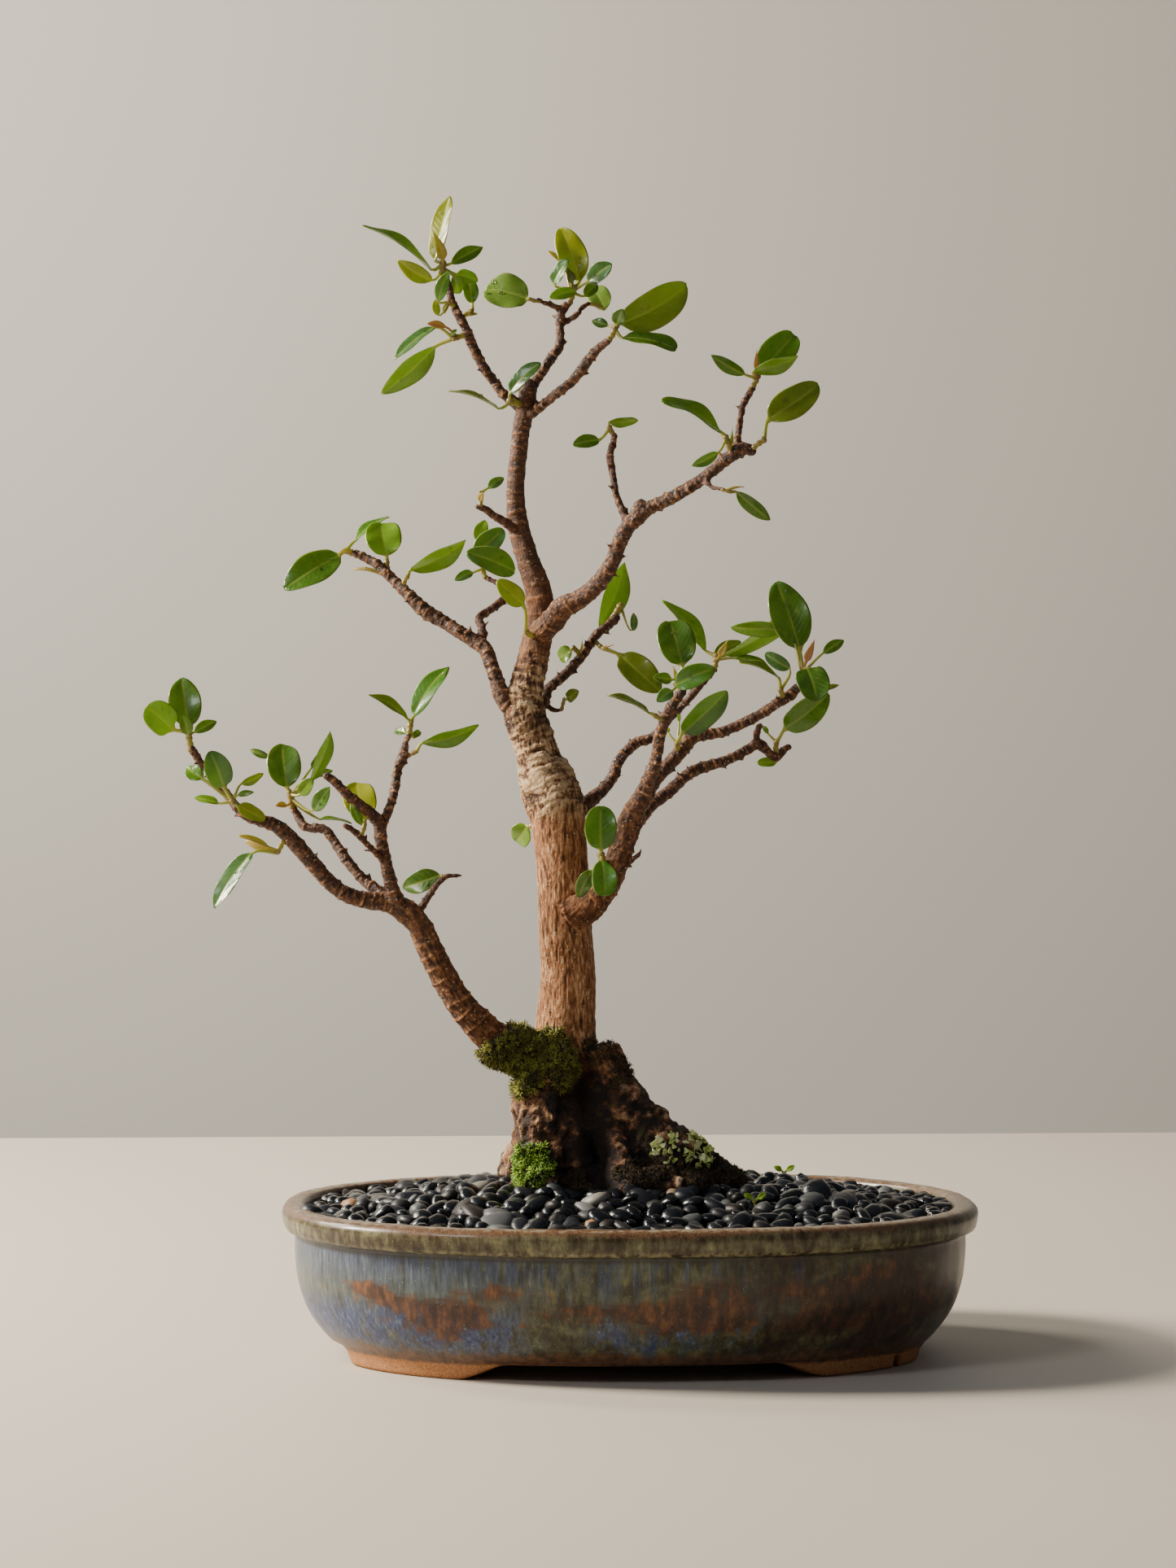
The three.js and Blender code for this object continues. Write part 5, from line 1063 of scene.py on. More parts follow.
def pot_rings():
    lift = foot_lift()
    rings = []
    # underside, from the middle out to the feet, then up the wall
    for inset in (60, 44):
        rings.append(oval(inset, FOOT_HEIGHT))
    rings.append(oval(BASE_INSET + FOOT_WIDTH + 1, FOOT_HEIGHT))
    rings.append(oval(BASE_INSET + FOOT_WIDTH, FOOT_HEIGHT * 0.8 + lift * 0.2))
    rings.append(oval(BASE_INSET + FOOT_WIDTH - 0.6, 0.9 + lift * 0.85))
    rings.append(oval(BASE_INSET + FOOT_WIDTH - 1.8, lift))
    rings.append(oval(BASE_INSET + 6.5, lift))
    rings.append(oval(BASE_INSET + 2.6, lift))
    rings.append(oval(BASE_INSET + 1.5, 0.5 + lift * 0.95))
    rings.append(oval(BASE_INSET + 1, 1.6 + lift * 0.86))
    rings.append(oval(BASE_INSET + 0.8, 3.6 + lift * 0.58))
    for z in np.concatenate([np.linspace(7.4, 16, 9), np.linspace(17.5, 45, 22)]):
        rings.append(oval(belly_inset(z), z))
    for inset, z in LIP_PROFILE:
        rings.append(oval(inset, z))
    for z in (42, 36, 28, 20, 15, FLOOR_TOP + 1):
        rings.append(oval(belly_inset(z) + WALL, z))
    rings.append(oval(BASE_INSET + WALL + 4, FLOOR_TOP))
    rings.append(oval(60, FLOOR_TOP))
    return rings


def prism(name, sides, radius_x, radius_y, low, high, middle, turn=0.0):
    angle = np.arange(sides) * 2 * math.pi / sides + turn
    ring = np.column_stack([np.cos(angle) * radius_x, np.sin(angle) * radius_y])
    rows = [np.column_stack([ring, np.full(sides, z)]) + [middle[0], middle[1], 0] for z in (low, high)]
    return plain_mesh(name, np.vstack(rows) + POT_MIDDLE, ring_faces(2, sides), None, smooth=False)


def add_pot(material):
    """The glazed pot, with its drain holes and the notch in one foot cut out."""
    rings = pot_rings()
    points = np.vstack(rings)
    piece = plain_mesh("glazed_pot", points + POT_MIDDLE, ring_faces(len(rings), POT_STEPS), material)
    cutters = [prism(f"drain_{i}", 48, DRAIN_DIAMETER / 2, DRAIN_DIAMETER / 2, -4, FLOOR_TOP + 4,
                     (side * DRAIN_SPACING / 2, 0)) for i, side in enumerate((-1, 1))]
    angle = math.radians(NOTCH_DEG)
    middle = oval(BASE_INSET + FOOT_WIDTH / 2,
                  0)[int(round((360 + NOTCH_DEG) / 360 * POT_STEPS)) % POT_STEPS]
    notch = prism("notch", 4, 1, 1, -3, 4.6, (0, 0), math.pi / 4)
    local = points_of(notch.data) - POT_MIDDLE
    long_way = np.array([math.cos(angle - 0.5), math.sin(angle - 0.5)])
    cross_way = np.array([-long_way[1], long_way[0]])
    flat = (local[:, :1] * 21 * long_way + local[:, 1:2] * 2.5 * cross_way) + middle[:2]
    set_points(notch.data, np.column_stack([flat, local[:, 2]]) + POT_MIDDLE)
    for cutter in cutters + [notch]:
        modifier = piece.modifiers.new("cut", "BOOLEAN")
        modifier.operation = "DIFFERENCE"
        modifier.solver = "EXACT"
        modifier.object = cutter
    applied(piece)
    for cutter in cutters + [notch]:
        bpy.data.objects.remove(cutter)
    mesh = piece.data
    painted(piece, material)
    mesh.shade_smooth()
    points = points_of(mesh) - POT_MIDDLE
    normals = normals_of(mesh)
    # the hand-made wall isn't quite even, and the glaze pools in soft drips
    wall = eased(points[:, 2], 7, 12)
    drips = noise_at(points * [1, 1, 0.22], 0.16, 3.3)
    push = 0.28 * noise_at(points, 0.03, 8.1) + 0.16 * noise_at(points, 0.11, 1.7) + 0.16 * drips
    inside = (np.abs(points[:, 0]) < POT_LENGTH / 2 - 40) & (np.abs(points[:, 1]) < POT_DEPTH / 2 - 40)
    set_points(mesh, points + normals * (push * wall * ~inside)[:, None] + POT_MIDDLE)
    finished(piece, "glaze", "pot")


# Colour stops: how bright the pattern is there, and the colour.
GLAZE = {
    "body": [(0.36, (0.012, 0.009, 0.004)), (0.46, (0.040, 0.034, 0.014)), (0.54, (0.080, 0.082, 0.040)),
        (0.66, (0.19, 0.165, 0.068))],
    "veil": [(0.3, (0.030, 0.046, 0.040)), (0.7, (0.135, 0.165, 0.130))],
    "blue": [(0.32, (0.006, 0.010, 0.045)), (0.5, (0.028, 0.045, 0.135)), (0.62, (0.070, 0.100, 0.175)),
        (0.78, (0.25, 0.31, 0.33))],
    "runs": [(0.35, (0.007, 0.010, 0.035)), (0.7, (0.05, 0.075, 0.15))],
    "rust": [(0.38, (0.026, 0.009, 0.004)), (0.52, (0.075, 0.026, 0.009)), (0.66, (0.17, 0.066, 0.020))],
    "dark": [(0.35, (0.012, 0.007, 0.005)), (0.7, (0.058, 0.027, 0.013))],
    "lip": [(0.36, (0.014, 0.008, 0.004)), (0.46, (0.050, 0.034, 0.014)), (0.54, (0.105, 0.098, 0.048)),
        (0.65, (0.27, 0.24, 0.105))],
    "edge": [(0.35, (0.045, 0.018, 0.009)), (0.65, (0.17, 0.082, 0.038))],
    "hem": [(0.35, (0.035, 0.015, 0.008)), (0.65, (0.14, 0.062, 0.026))],
    "clay": [(0.3, (0.19, 0.075, 0.028)), (0.5, (0.36, 0.16, 0.062)), (0.72, (0.47, 0.25, 0.11))]}


def glaze_finish():
    finish = Finish("reactive glaze", {"IOR": 1.36, "Coat IOR": 1.45, "Coat Roughness": 0.12})
    place = finish.moved(finish.place(), tuple(-POT_MIDDLE))
    x, _, z = finish.parts(place)
    streaky = finish.scaled(place, (1, 1, 0.14))
    runny = finish.scaled(place, (1, 1, 0.4))
    flat = finish.scaled(place, (0.4, 0.4, 1))
    large = finish.noise(place, 0.022, 2)
    blotch = finish.noise(flat, 0.055, 4, 0.6, 0.6)
    blot2 = finish.noise(finish.moved(flat, (31, 7, 0)), 0.075, 4, 0.6, 0.4)
    streak = finish.noise(streaky, 0.22, 5, 0.65, 0.3)
    thread = finish.noise(streaky, 0.75, 4, 0.7)
    mottle = finish.noise(runny, 0.32, 5, 0.65)
    fine = finish.noise(place, 1.4, 4, 0.6)
    tide = finish.noise(flat, 0.09, 3, 0.6, 0.8)
    body = finish.ramp(mottle * 0.6 + tide * 0.4, GLAZE["body"])
    # cool grey-green veil, stronger to the left
    veil = finish.step(large * 0.6 + streak * 0.6 - x * 0.0012, 0.52, 0.78)
    body = finish.blend(veil * 0.75, body, finish.ramp(thread, GLAZE["veil"]))
    # blue streaks that start under the lip and at the foot
    from_lip = finish.step(z, 24, 45) * (1 - finish.step(z, 45.6, 46.6))
    low_band = finish.step(z, 6, 14) * (1 - finish.step(z, 20, 34))
    reach = finish.step(streak * 0.75 + thread * 0.4 - x * 0.0013, 0.53, 0.68)
    blue = reach * (from_lip * 0.66).greatest(low_band * finish.step(large - x * 0.0015, 0.42, 0.56))
    body = finish.blend(blue * 0.85, body, finish.ramp(thread, GLAZE["blue"]))
    runs = 1 - finish.step(finish.cells(finish.scaled(finish.moved(place, (4, 0, 0)), (1, 1, 0.03)), 0.05),
                           0.05, 0.17)
    runs = runs * finish.step(z + (large - 0.5) * 60, 26, 40) * (1 - finish.step(z, 45, 46.4))
    body = finish.blend(runs * 0.7, body, finish.ramp(thread, GLAZE["runs"]))
    # painted shade: a dark band just under the lip's overhang
    lip_shadow_band = finish.step(z, 43.6, 45.4) * (1 - finish.step(z, 46.2, 46.9))
    body = finish.blend(lip_shadow_band * 0.7, body, (0.020, 0.017, 0.012))
    # rust where the glaze ran thin
    band = finish.step(z, 12, 22) * (1 - finish.step(z, 33, 41))
    rust = finish.step(blotch * 0.8 + mottle * 0.25 + band * 0.15 + x * 0.0005, 0.625, 0.72)
    rust = rust * (1 - finish.step(z, 44.5, 46))
    # dark brown glaze towards the right end, partly painted shade on the side away from the window light
    dark_glaze_and_shade = finish.step(x + (blot2 - 0.5) * 130, 12, 74) * finish.step(blot2 + band * 0.1, 0.42, 0.58)
    body = finish.blend(rust * 0.9, body, finish.ramp(mottle, GLAZE["rust"]))
    body = finish.blend(dark_glaze_and_shade * 0.88, body, finish.ramp(mottle, GLAZE["dark"]))
    # the lip: yellow-olive with a broken brown edge
    lip = finish.step(z + (mottle - 0.5) * 2.4, 46.2, 47.2)
    lip_body = finish.ramp(mottle * 0.55 + tide * 0.2 + blot2 * 0.25, GLAZE["lip"])
    body = finish.blend(lip, body, lip_body)
    edge = finish.step(z + (mottle - 0.5) * 5 + (large - 0.5) * 6, 53.2, 55.4)
    body = finish.blend(edge * 0.9, body, finish.ramp(fine, GLAZE["edge"]))
    pale_rim = finish.step(z, 55.1, 56) * finish.step(mottle, 0.45, 0.6)
    body = finish.blend(pale_rim * 0.5, body, (0.27, 0.26, 0.18))
    pale_line = finish.step(z, 46.3, 47) * (1 - finish.step(z, 47.2, 49)) * finish.step(mottle, 0.4, 0.6)
    body = finish.blend(pale_line * 0.4, body, (0.34, 0.31, 0.17))
    # brown hem, and the bare clay under it
    wave = (streak - 0.5) * 5 + (blotch - 0.5) * 5
    hem = 1 - finish.step(z + wave, 8.8, 12.5)
    body = finish.blend(hem * 0.9, body, finish.ramp(mottle, GLAZE["hem"]))
    bare = 1 - finish.step(z + wave * 0.35, 5.2, 6.6)
    clay = finish.ramp(fine, GLAZE["clay"])
    body = finish.blend(bare, body, clay)
    specks = (1 - finish.step(finish.cells(place, 0.42), 0.03, 0.075)) * (1 - bare)
    body = finish.blend(specks * 0.8, body, (0.55, 0.48, 0.29))
    pits = 1 - finish.step(finish.cells(finish.moved(place, (9, 4, 2)), 0.3), 0.02, 0.07)
    body = finish.blend(pits * 0.7, body, (0.02, 0.014, 0.01))
    rough = 0.26 + 0.22 * mottle + bare * 0.45 + rust * 0.08
    height = 0.45 + 0.35 * mottle + 0.12 * fine - 0.5 * pits + 0.3 * specks
    return finish.surface(base_color=body, roughness=rough, coat_weight=(1 - bare) * 0.25,
                          normal=finish.bump(height, 0.35, 0.65))


# ---------------------------------------------------------------- soil and drainage mesh
def soil_finish():
    finish = Finish("potting soil", {})
    place = finish.place()
    crumbs = finish.cells(place, 0.55)
    grit = finish.noise(place, 1.6, 4)
    body = finish.ramp(grit, [(0.3, (0.014, 0.008, 0.004)), (0.55, (0.05, 0.028, 0.015)),
                              (0.75, (0.16, 0.105, 0.06))])
    return finish.surface(base_color=body, roughness=0.85 + 0.1 * grit,
                          normal=finish.bump(1 - crumbs + 0.3 * grit, 1.2))


def mesh_finish():
    finish = Finish("moulded drainage mesh", {})
    place = finish.place()
    scuff = finish.noise(place, 0.9, 4)
    dust = finish.noise(place, 0.15, 2)
    body = finish.blend(finish.step(dust, 0.5, 0.75) * 0.4, (0.012, 0.013, 0.014), (0.09, 0.065, 0.045))
    return finish.surface(base_color=body, roughness=0.42 + 0.25 * scuff,
                          normal=finish.bump(scuff, 0.1, 0.5))

# ---------------------------------------------------------------- scattering with Geometry Nodes
def scatter_tree(name, material):
    """Copies shapes over a surface with a least spacing, turned, tilted and sized at random."""
    tree = bpy.data.node_groups.new(name, "GeometryNodeTree")
    face = tree.interface
    face.new_socket("Geometry", in_out="INPUT", socket_type="NodeSocketGeometry")
    face.new_socket("Shapes", in_out="INPUT", socket_type="NodeSocketCollection")
    for label in ("Spacing", "Density", "Smallest", "Largest", "Tilt", "Sink"):
        face.new_socket(label, in_out="INPUT", socket_type="NodeSocketFloat")
    face.new_socket("Seed", in_out="INPUT", socket_type="NodeSocketInt")
    face.new_socket("Geometry", in_out="OUTPUT", socket_type="NodeSocketGeometry")

    def add(kind, settings=None, **sockets):
        made = tree.nodes.new(kind)
        for key, value in (settings or {}).items():
            setattr(made, key, value)
        for key, value in sockets.items():
            socket = made.inputs[key.replace("_", " ")]
            if isinstance(value, bpy.types.NodeSocket):
                tree.links.new(value, socket)
            else:
                socket.default_value = value
        return made

    given = add("NodeGroupInput").outputs
    room = add("GeometryNodeInputNamedAttribute", {"data_type": "FLOAT"}, Name="room")
    spread = add("GeometryNodeDistributePointsOnFaces", {"distribute_method": "POISSON"},
                 Mesh=given["Geometry"],
                 Distance_Min=given["Spacing"], Density_Max=given["Density"], Seed=given["Seed"],
                 Density_Factor=room.outputs["Attribute"])
    spin = add("FunctionNodeRandomValue", {"data_type": "FLOAT_VECTOR"}, Seed=given["Seed"])
    spin.inputs[0].default_value = (0, 0, 0)
    spin.inputs[1].default_value = (0, 0, 2 * math.pi)
    about = add("FunctionNodeRotateRotation", {"rotation_space": "LOCAL"},
                Rotation=spread.outputs["Rotation"],
                Rotate_By=spin.outputs[0])
    lean = add("FunctionNodeRandomValue", {"data_type": "FLOAT_VECTOR"}, Seed=7)
    lean.inputs[0].default_value = (-1, -1, 0)
    lean.inputs[1].default_value = (1, 1, 0)
    tilt = add("ShaderNodeVectorMath", {"operation": "SCALE"})
    tree.links.new(lean.outputs[0], tilt.inputs[0])
    tree.links.new(given["Tilt"], tilt.inputs["Scale"])
    leaning = add("FunctionNodeRotateRotation", {"rotation_space": "LOCAL"}, Rotation=about.outputs[0],
                  Rotate_By=tilt.outputs[0])
    shapes = add("GeometryNodeCollectionInfo", None, Collection=given["Shapes"], Separate_Children=True,
                 Reset_Children=True)
    size = add("FunctionNodeRandomValue", {"data_type": "FLOAT"}, Seed=11)
    tree.links.new(given["Smallest"], size.inputs[2])
    tree.links.new(given["Largest"], size.inputs[3])
    copies = add("GeometryNodeInstanceOnPoints", None, Points=spread.outputs["Points"],
                 Instance=shapes.outputs["Instances"], Pick_Instance=True, Rotation=leaning.outputs[0],
                 Scale=size.outputs[1])
    drop = add("ShaderNodeCombineXYZ")
    tree.links.new(given["Sink"], drop.inputs[2])
    sunk = add("GeometryNodeTranslateInstances", None, Instances=copies.outputs[0],
               Translation=drop.outputs[0])
    shade = add("FunctionNodeRandomValue", {"data_type": "FLOAT"}, Seed=23)
    stored = add("GeometryNodeStoreNamedAttribute", {"data_type": "FLOAT", "domain": "INSTANCE"},
                 Geometry=sunk.outputs[0], Name="shade", Value=shade.outputs[1])
    real = add("GeometryNodeRealizeInstances", None, Geometry=stored.outputs[0])
    coated = add("GeometryNodeSetMaterial", None, Geometry=real.outputs[0], Material=material)
    result = add("NodeGroupOutput")
    tree.links.new(coated.outputs[0], result.inputs[0])
    return tree


def scattered(name, surface, shapes, material, **sizes):
    """A plain mesh of the shapes scattered over the surface object, which is used up."""
    tree = scatter_tree(name + " scatter", material)
    pile = bpy.data.collections.new(name + " shapes")
    for shape in shapes:
        pile.objects.link(shape)
    modifier = surface.modifiers.new("scatter", "NODES")
    modifier.node_group = tree
    values = {"Shapes": pile, **{key.title(): value for key, value in sizes.items()}}
    for item in tree.interface.items_tree:
        if item.in_out == "INPUT" and item.name in values:
            modifier[item.identifier] = values[item.name]
    surface.name = name
    applied(surface)
    surface.data.shade_smooth()
    for shape in shapes:
        bpy.data.objects.remove(shape)
    bpy.data.collections.remove(pile)
    return surface


def shape_object(name, points, faces, material):
    shape = plain_mesh(name, points, faces, material)
    bpy.context.scene.collection.objects.unlink(shape)
    return shape


def ball(around, bands):
    """Points and faces of a unit ball with poles along Z."""
    tilt = np.arange(1, bands) * math.pi / bands
    turn = np.arange(around) * 2 * math.pi / around
    rows = [[(math.sin(t) * math.cos(p), math.sin(t) * math.sin(p),
              -math.cos(t)) for p in turn] for t in tilt]
    points = [p for row in rows for p in row] + [(0, 0, -1), (0, 0, 1)]
    faces = ring_faces(bands - 1, around, False, False)
    low, high = len(points) - 2, len(points) - 1
    last = (bands - 2) * around
    faces += [(low, (i + 1) % around, i) for i in range(around)]
    faces += [(high, last + i, last + (i + 1) % around) for i in range(around)]
    return np.array(points), faces


# ---------------------------------------------------------------- pebbles
PEBBLES_BELOW_RIM = 3.5
PEBBLE_MOUND = 9
PEBBLE_SPACING = 5.8
BED_STEPS = 120
BED_RINGS = 26
BED_THICKNESS = 4
PEBBLE_FORMS = [(4.9, 3.3, 2.3), (4.1, 3.2, 2.5), (5.6, 3.1, 2.2), (3.6, 3.0, 2.6), (4.6, 2.6, 2.0),
                (6.6, 4.4, 2.4),
                (3.2, 2.4, 2.0)]


def wood_gap(points):
    """Rough distance from each point to the root base's skin, in millimetres."""
    best = np.full(len(points), 1e9)
    for root in ROOTS + [TRUNK[:2]]:
        curve = smoothed([(x, y, z + RIM, r) for x, y, z, r in root], 2)
        gaps = np.linalg.norm(points[:, None] - curve[None, :, :3], axis=2) - curve[None, :, 3]
        best = np.minimum(best, gaps.min(axis=1))
    return best


def bed_level(drop):
    """Points and faces of the mound under the pebbles, lowered by drop, from the wall inwards."""
    outer = LIP_WIDTH + 1.8
    points = []
    for i in range(BED_RINGS):
        share = i / (BED_RINGS - 1)
        reach = outer + share * (POT_DEPTH / 2 - outer - 6)
        ring = oval(reach, 0, BED_STEPS)
        rise = PEBBLE_MOUND * eased(share, 0, 0.75)
        ring[:, 2] = RIM - PEBBLES_BELOW_RIM + rise - drop
        ring[:, 2] += 0.9 * noise_at(ring, 0.06, 5.5) * min(1, share * 4)
        points.append(ring)
    return np.vstack(points), ring_faces(BED_RINGS, BED_STEPS, closed_start=False)


def bed_surface(name, drop):
    points, faces = bed_level(drop)
    surface = plain_mesh(name, points + POT_MIDDLE, faces, None)
    keep(surface.data, "room", "FLOAT", eased(wood_gap(points), -1.5, 1.0))
    return surface


def pebble_shapes(material):
    unit_points, faces = ball(8, 6)
    shapes = []
    for i, (a, b, c) in enumerate(PEBBLE_FORMS):
        p = unit_points.copy()
        taper = 1 + (0.18 if i % 2 else -0.12) * p[:, 0]
        p = np.sign(p) * np.abs(p) ** 0.92
        p = np.column_stack([p[:, 0] * a + 0.12 * a * p[:, 1] ** 2, p[:, 1] * b * taper,
                             p[:, 2] * c * taper])
        shapes.append(shape_object(f"pebble_form_{i}", p, faces, material))
    return shapes


# Colour stops: how bright the pattern is there, and the colour.
PEBBLE_TONES = [
    (0.0, (0.003, 0.004, 0.005)), (0.5, (0.006, 0.007, 0.010)), (0.72, (0.010, 0.012, 0.017)),
    (0.82, (0.010, 0.007, 0.005)), (0.91, (0.026, 0.028, 0.031)), (0.97, (0.075, 0.079, 0.080)),
    (0.982, (0.16, 0.16, 0.15)), (0.994, (0.20, 0.17, 0.12)), (1.0, (0.28, 0.14, 0.055))]


def pebble_finish():
    finish = Finish("wet black pebbles", {"IOR": 1.36, "Coat IOR": 1.4, "Coat Roughness": 0.05})
    shade = finish.attribute("shade", "Fac")
    place = finish.place()
    grit = finish.noise(place, 2.6, 4, 0.65)
    cloud = finish.noise(place, 0.25, 2)
    body = finish.ramp(shade, PEBBLE_TONES)
    body = finish.blend(finish.step(grit, 0.42, 0.75) * 0.25, body,
                        finish.blend(0.25, body, (0.09, 0.09, 0.09)))
    body = finish.blend(finish.step(cloud, 0.55, 0.75) * 0.2, body, (0.035, 0.030, 0.026))
    dry = finish.step(cloud * 0.5 + shade * 0.5, 0.42, 0.66)
    rough = 0.14 + 0.26 * dry + 0.10 * grit
    return finish.surface(base_color=body, roughness=rough, coat_weight=(1 - dry) * 0.2,
                          normal=finish.bump(grit, 0.12, 0.45))


def bed_finish():
    finish = Finish("dark grit", {})
    place = finish.place()
    stones = finish.cells(place, 0.32)
    grit = finish.noise(place, 1.2, 4)
    body = finish.ramp(grit, [(0.3, (0.006, 0.005, 0.004)), (0.7, (0.035, 0.028, 0.022))])
    return finish.surface(base_color=body, roughness=0.8 + 0.1 * grit, normal=finish.bump(1 - stones, 1.5))


def add_pebbles():
    pebble = pebble_finish()
    lower = scattered("pebbles_below", bed_surface("below", 3.6), pebble_shapes(pebble), pebble,
                      spacing=PEBBLE_SPACING * 0.95 * MM, density=90000.0, smallest=0.8, largest=1.1,
                      tilt=0.45,
                      sink=0.0, seed=3)
    finished(lower, "pebbles")
    upper = scattered("pebbles", bed_surface("above", 0.6), pebble_shapes(pebble), pebble,
                      spacing=PEBBLE_SPACING * MM, density=90000.0, smallest=0.74, largest=1.4, tilt=0.6,
                      sink=0.0,
                      seed=8)
    finished(upper, "pebbles", "pebble_layer")
    # dark grit under the pebbles, closed underneath
    points, faces = bed_level(6.5)
    points = points + POT_MIDDLE
    skirt = len(points)
    points = np.vstack([points, points[:BED_STEPS] * [0.97, 0.97, 1] - [0, 0, BED_THICKNESS]])
    for i in range(BED_STEPS):
        j = (i + 1) % BED_STEPS
        faces.append((i, skirt + i, skirt + j, j))
    faces.append(tuple(skirt + i for i in reversed(range(BED_STEPS))))
    finished(plain_mesh("pebble_bed", points, faces, bed_finish()), "pebbles")


# ---------------------------------------------------------------- moss, lichen, litter and seedlings
MOSS_COLLAR = [(-48, -13, 56, 9, 9, 8), (-40, -14, 60, 9, 9, 8), (-31, -12, 57, 9, 9, 9),
               (-42, -14, 47, 9, 9, 8),
               (-26, -13, 50, 6, 8, 8)]
MOSS_FOOT = [(-38, -20, 15, 10, 9, 9)]
LICHEN_PATCH = [(12, -17, 21, 9, 9, 7), (24, -15, 20, 10, 9, 7)]
DARK_MOSS = [(-12, -10, 57, 8, 9, 6), (-4, -10, 48, 5, 6, 9), (4, -24, 12, 13, 9, 7),
             (22, -20, 9, 13, 9, 6),
             (36, -10, 8, 8, 8, 6), (-22, -24, 8, 9, 8, 6)]


def patch_share(points, patches):
    """1 in the middle of the patches, 0 past their edges."""
    share = np.zeros(len(points))
    for x, y, z, along_x, along_y, along_z in patches:
        gap = np.linalg.norm((points - [x, y, z + RIM]) / [along_x, along_y, along_z], axis=1)
        share = np.maximum(share, 1 - eased(gap, 0.72, 1.05))
    return share


def wood_skin(names, patches, lift, name):
    """A copy of the wood's faces inside the patches, swollen by lift."""
    points, faces, rooms, first = [], [], [], 0
    for other in names:
        mesh = bpy.data.objects[other].data
        here = points_of(mesh) - POT_MIDDLE
        share = patch_share(here, patches)
        kept = share > 0.02
        order = np.cumsum(kept) - 1 + first
        lumps = 1 + 0.75 * noise_at(here[kept], 0.42, 6.6) if kept.any() else 1
        points.append(here[kept] + normals_of(mesh)[kept] * (share[kept] * lift * lumps)[:, None])
        rooms.append(share[kept])
        for polygon in mesh.polygons:
            corners = list(polygon.vertices)
            if kept[corners].all():
                faces.append([order[i] for i in corners])
        first += int(kept.sum())
    skin = plain_mesh(name, np.vstack(points) + POT_MIDDLE, faces, None)
    keep(skin.data, "room", "FLOAT", np.concatenate(rooms))
    return skin


def tuft(name, blades, length, width, splay, material, draw):
    """A tuft of narrow pointed blades that stand up from one place."""
    points, faces = [], []
    for i in range(blades):
        turn = 2 * math.pi * (i + draw.uniform(-0.3, 0.3)) / blades
        out = np.array([math.cos(turn), math.sin(turn), 0])
        side = np.array([-out[1], out[0], 0])
        lean = splay * draw.uniform(0.5, 1.2)
        reach = length * draw.uniform(0.7, 1.15)
        heel = out * 0.12
        middle = out * (0.15 + lean * reach * 0.42) + [0, 0, reach * 0.6]
        tip = out * (0.15 + lean * reach) + [0, 0, reach * (1 - 0.25 * lean)]
        first = len(points)
        points += [heel - side * width * 0.4, heel + side * width * 0.4, middle + side * width * 0.5,
                   middle - side * width * 0.5, tip, heel + out * width * 0.5, middle + out * width * 0.45]
        faces += [(first, first + 3, first + 2, first + 1), (first + 3, first + 4, first + 2),
                  (first, first + 5, first + 6, first + 3), (first + 5, first + 1, first + 2, first + 6),
                  (first + 3, first + 6, first + 4), (first + 6, first + 2, first + 4)]
    return shape_object(name, np.array(points), faces, material)


def lobed_crust(name, material, draw, size=1.3):
    """A small wavy rosette of lichen, cupped at its edge."""
    around = 11
    points = [(0, 0, 0.25)]
    for ring, reach in ((1, 0.5), (2, 1.0)):
        for i in range(around):
            turn = 2 * math.pi * i / around
            wave = 1 + (0.28 * math.sin(3 * turn + draw.uniform(-0.4, 0.4)) + draw.uniform(-0.12,
                0.12)) * (ring == 2)
            points.append((math.cos(turn) * reach * size * wave, math.sin(turn) * reach * size * wave,
                           0.22 + 0.3 * (ring == 2) * draw.uniform(0.2, 1.3)))
    under = [(x * 0.9, y * 0.9, z - 0.28) for x, y, z in points[1 + around:]]
    points += under
    faces = [(0, 1 + i, 1 + (i + 1) % around) for i in range(around)]
    for i in range(around):
        j = (i + 1) % around
        faces.append((1 + i, 1 + around + i, 1 + around + j, 1 + j))
        faces.append((1 + around + i, 1 + 2 * around + i, 1 + 2 * around + j, 1 + around + j))
    faces.append(tuple(1 + 2 * around + i for i in reversed(range(around))))
    return shape_object(name, np.array(points), faces, material)


# Colour stops of the growth.
COLLAR_MOSS = [(0.15, (0.028, 0.022, 0.006)), (0.36, (0.085, 0.074, 0.011)),
               (0.50, (0.19, 0.175, 0.020)), (0.72, (0.34, 0.36, 0.045))]
FOOT_MOSS = [(0.15, (0.035, 0.060, 0.008)), (0.40, (0.12, 0.22, 0.018)),
             (0.6, (0.26, 0.42, 0.035)), (0.8, (0.42, 0.54, 0.08))]
BLACK_MOSS = [(0.2, (0.012, 0.009, 0.005)), (0.45, (0.045, 0.026, 0.012)),
              (0.6, (0.10, 0.055, 0.020)), (0.8, (0.085, 0.10, 0.020))]
LICHEN = [(0.15, (0.28, 0.38, 0.05)), (0.32, (0.60, 0.74, 0.17)),
          (0.5, (0.82, 0.90, 0.34)), (0.75, (0.92, 0.94, 0.60))]


def moss_finish(name, stops):
    finish = Finish(name, {})
    shade = finish.attribute("shade", "Fac")
    place = finish.place()
    cloud = finish.noise(place, 0.16, 3)
    fine = finish.noise(place, 2.2, 3)
    body = finish.ramp(shade * 0.45 + cloud * 0.75 - 0.1, stops)
    body = finish.blend(0.4 * fine, body, finish.blend(0.5, body, (0.02, 0.02, 0.005)))
    return finish.surface(base_color=body, roughness=0.75 + 0.2 * fine, normal=finish.bump(fine, 0.2, 0.5))


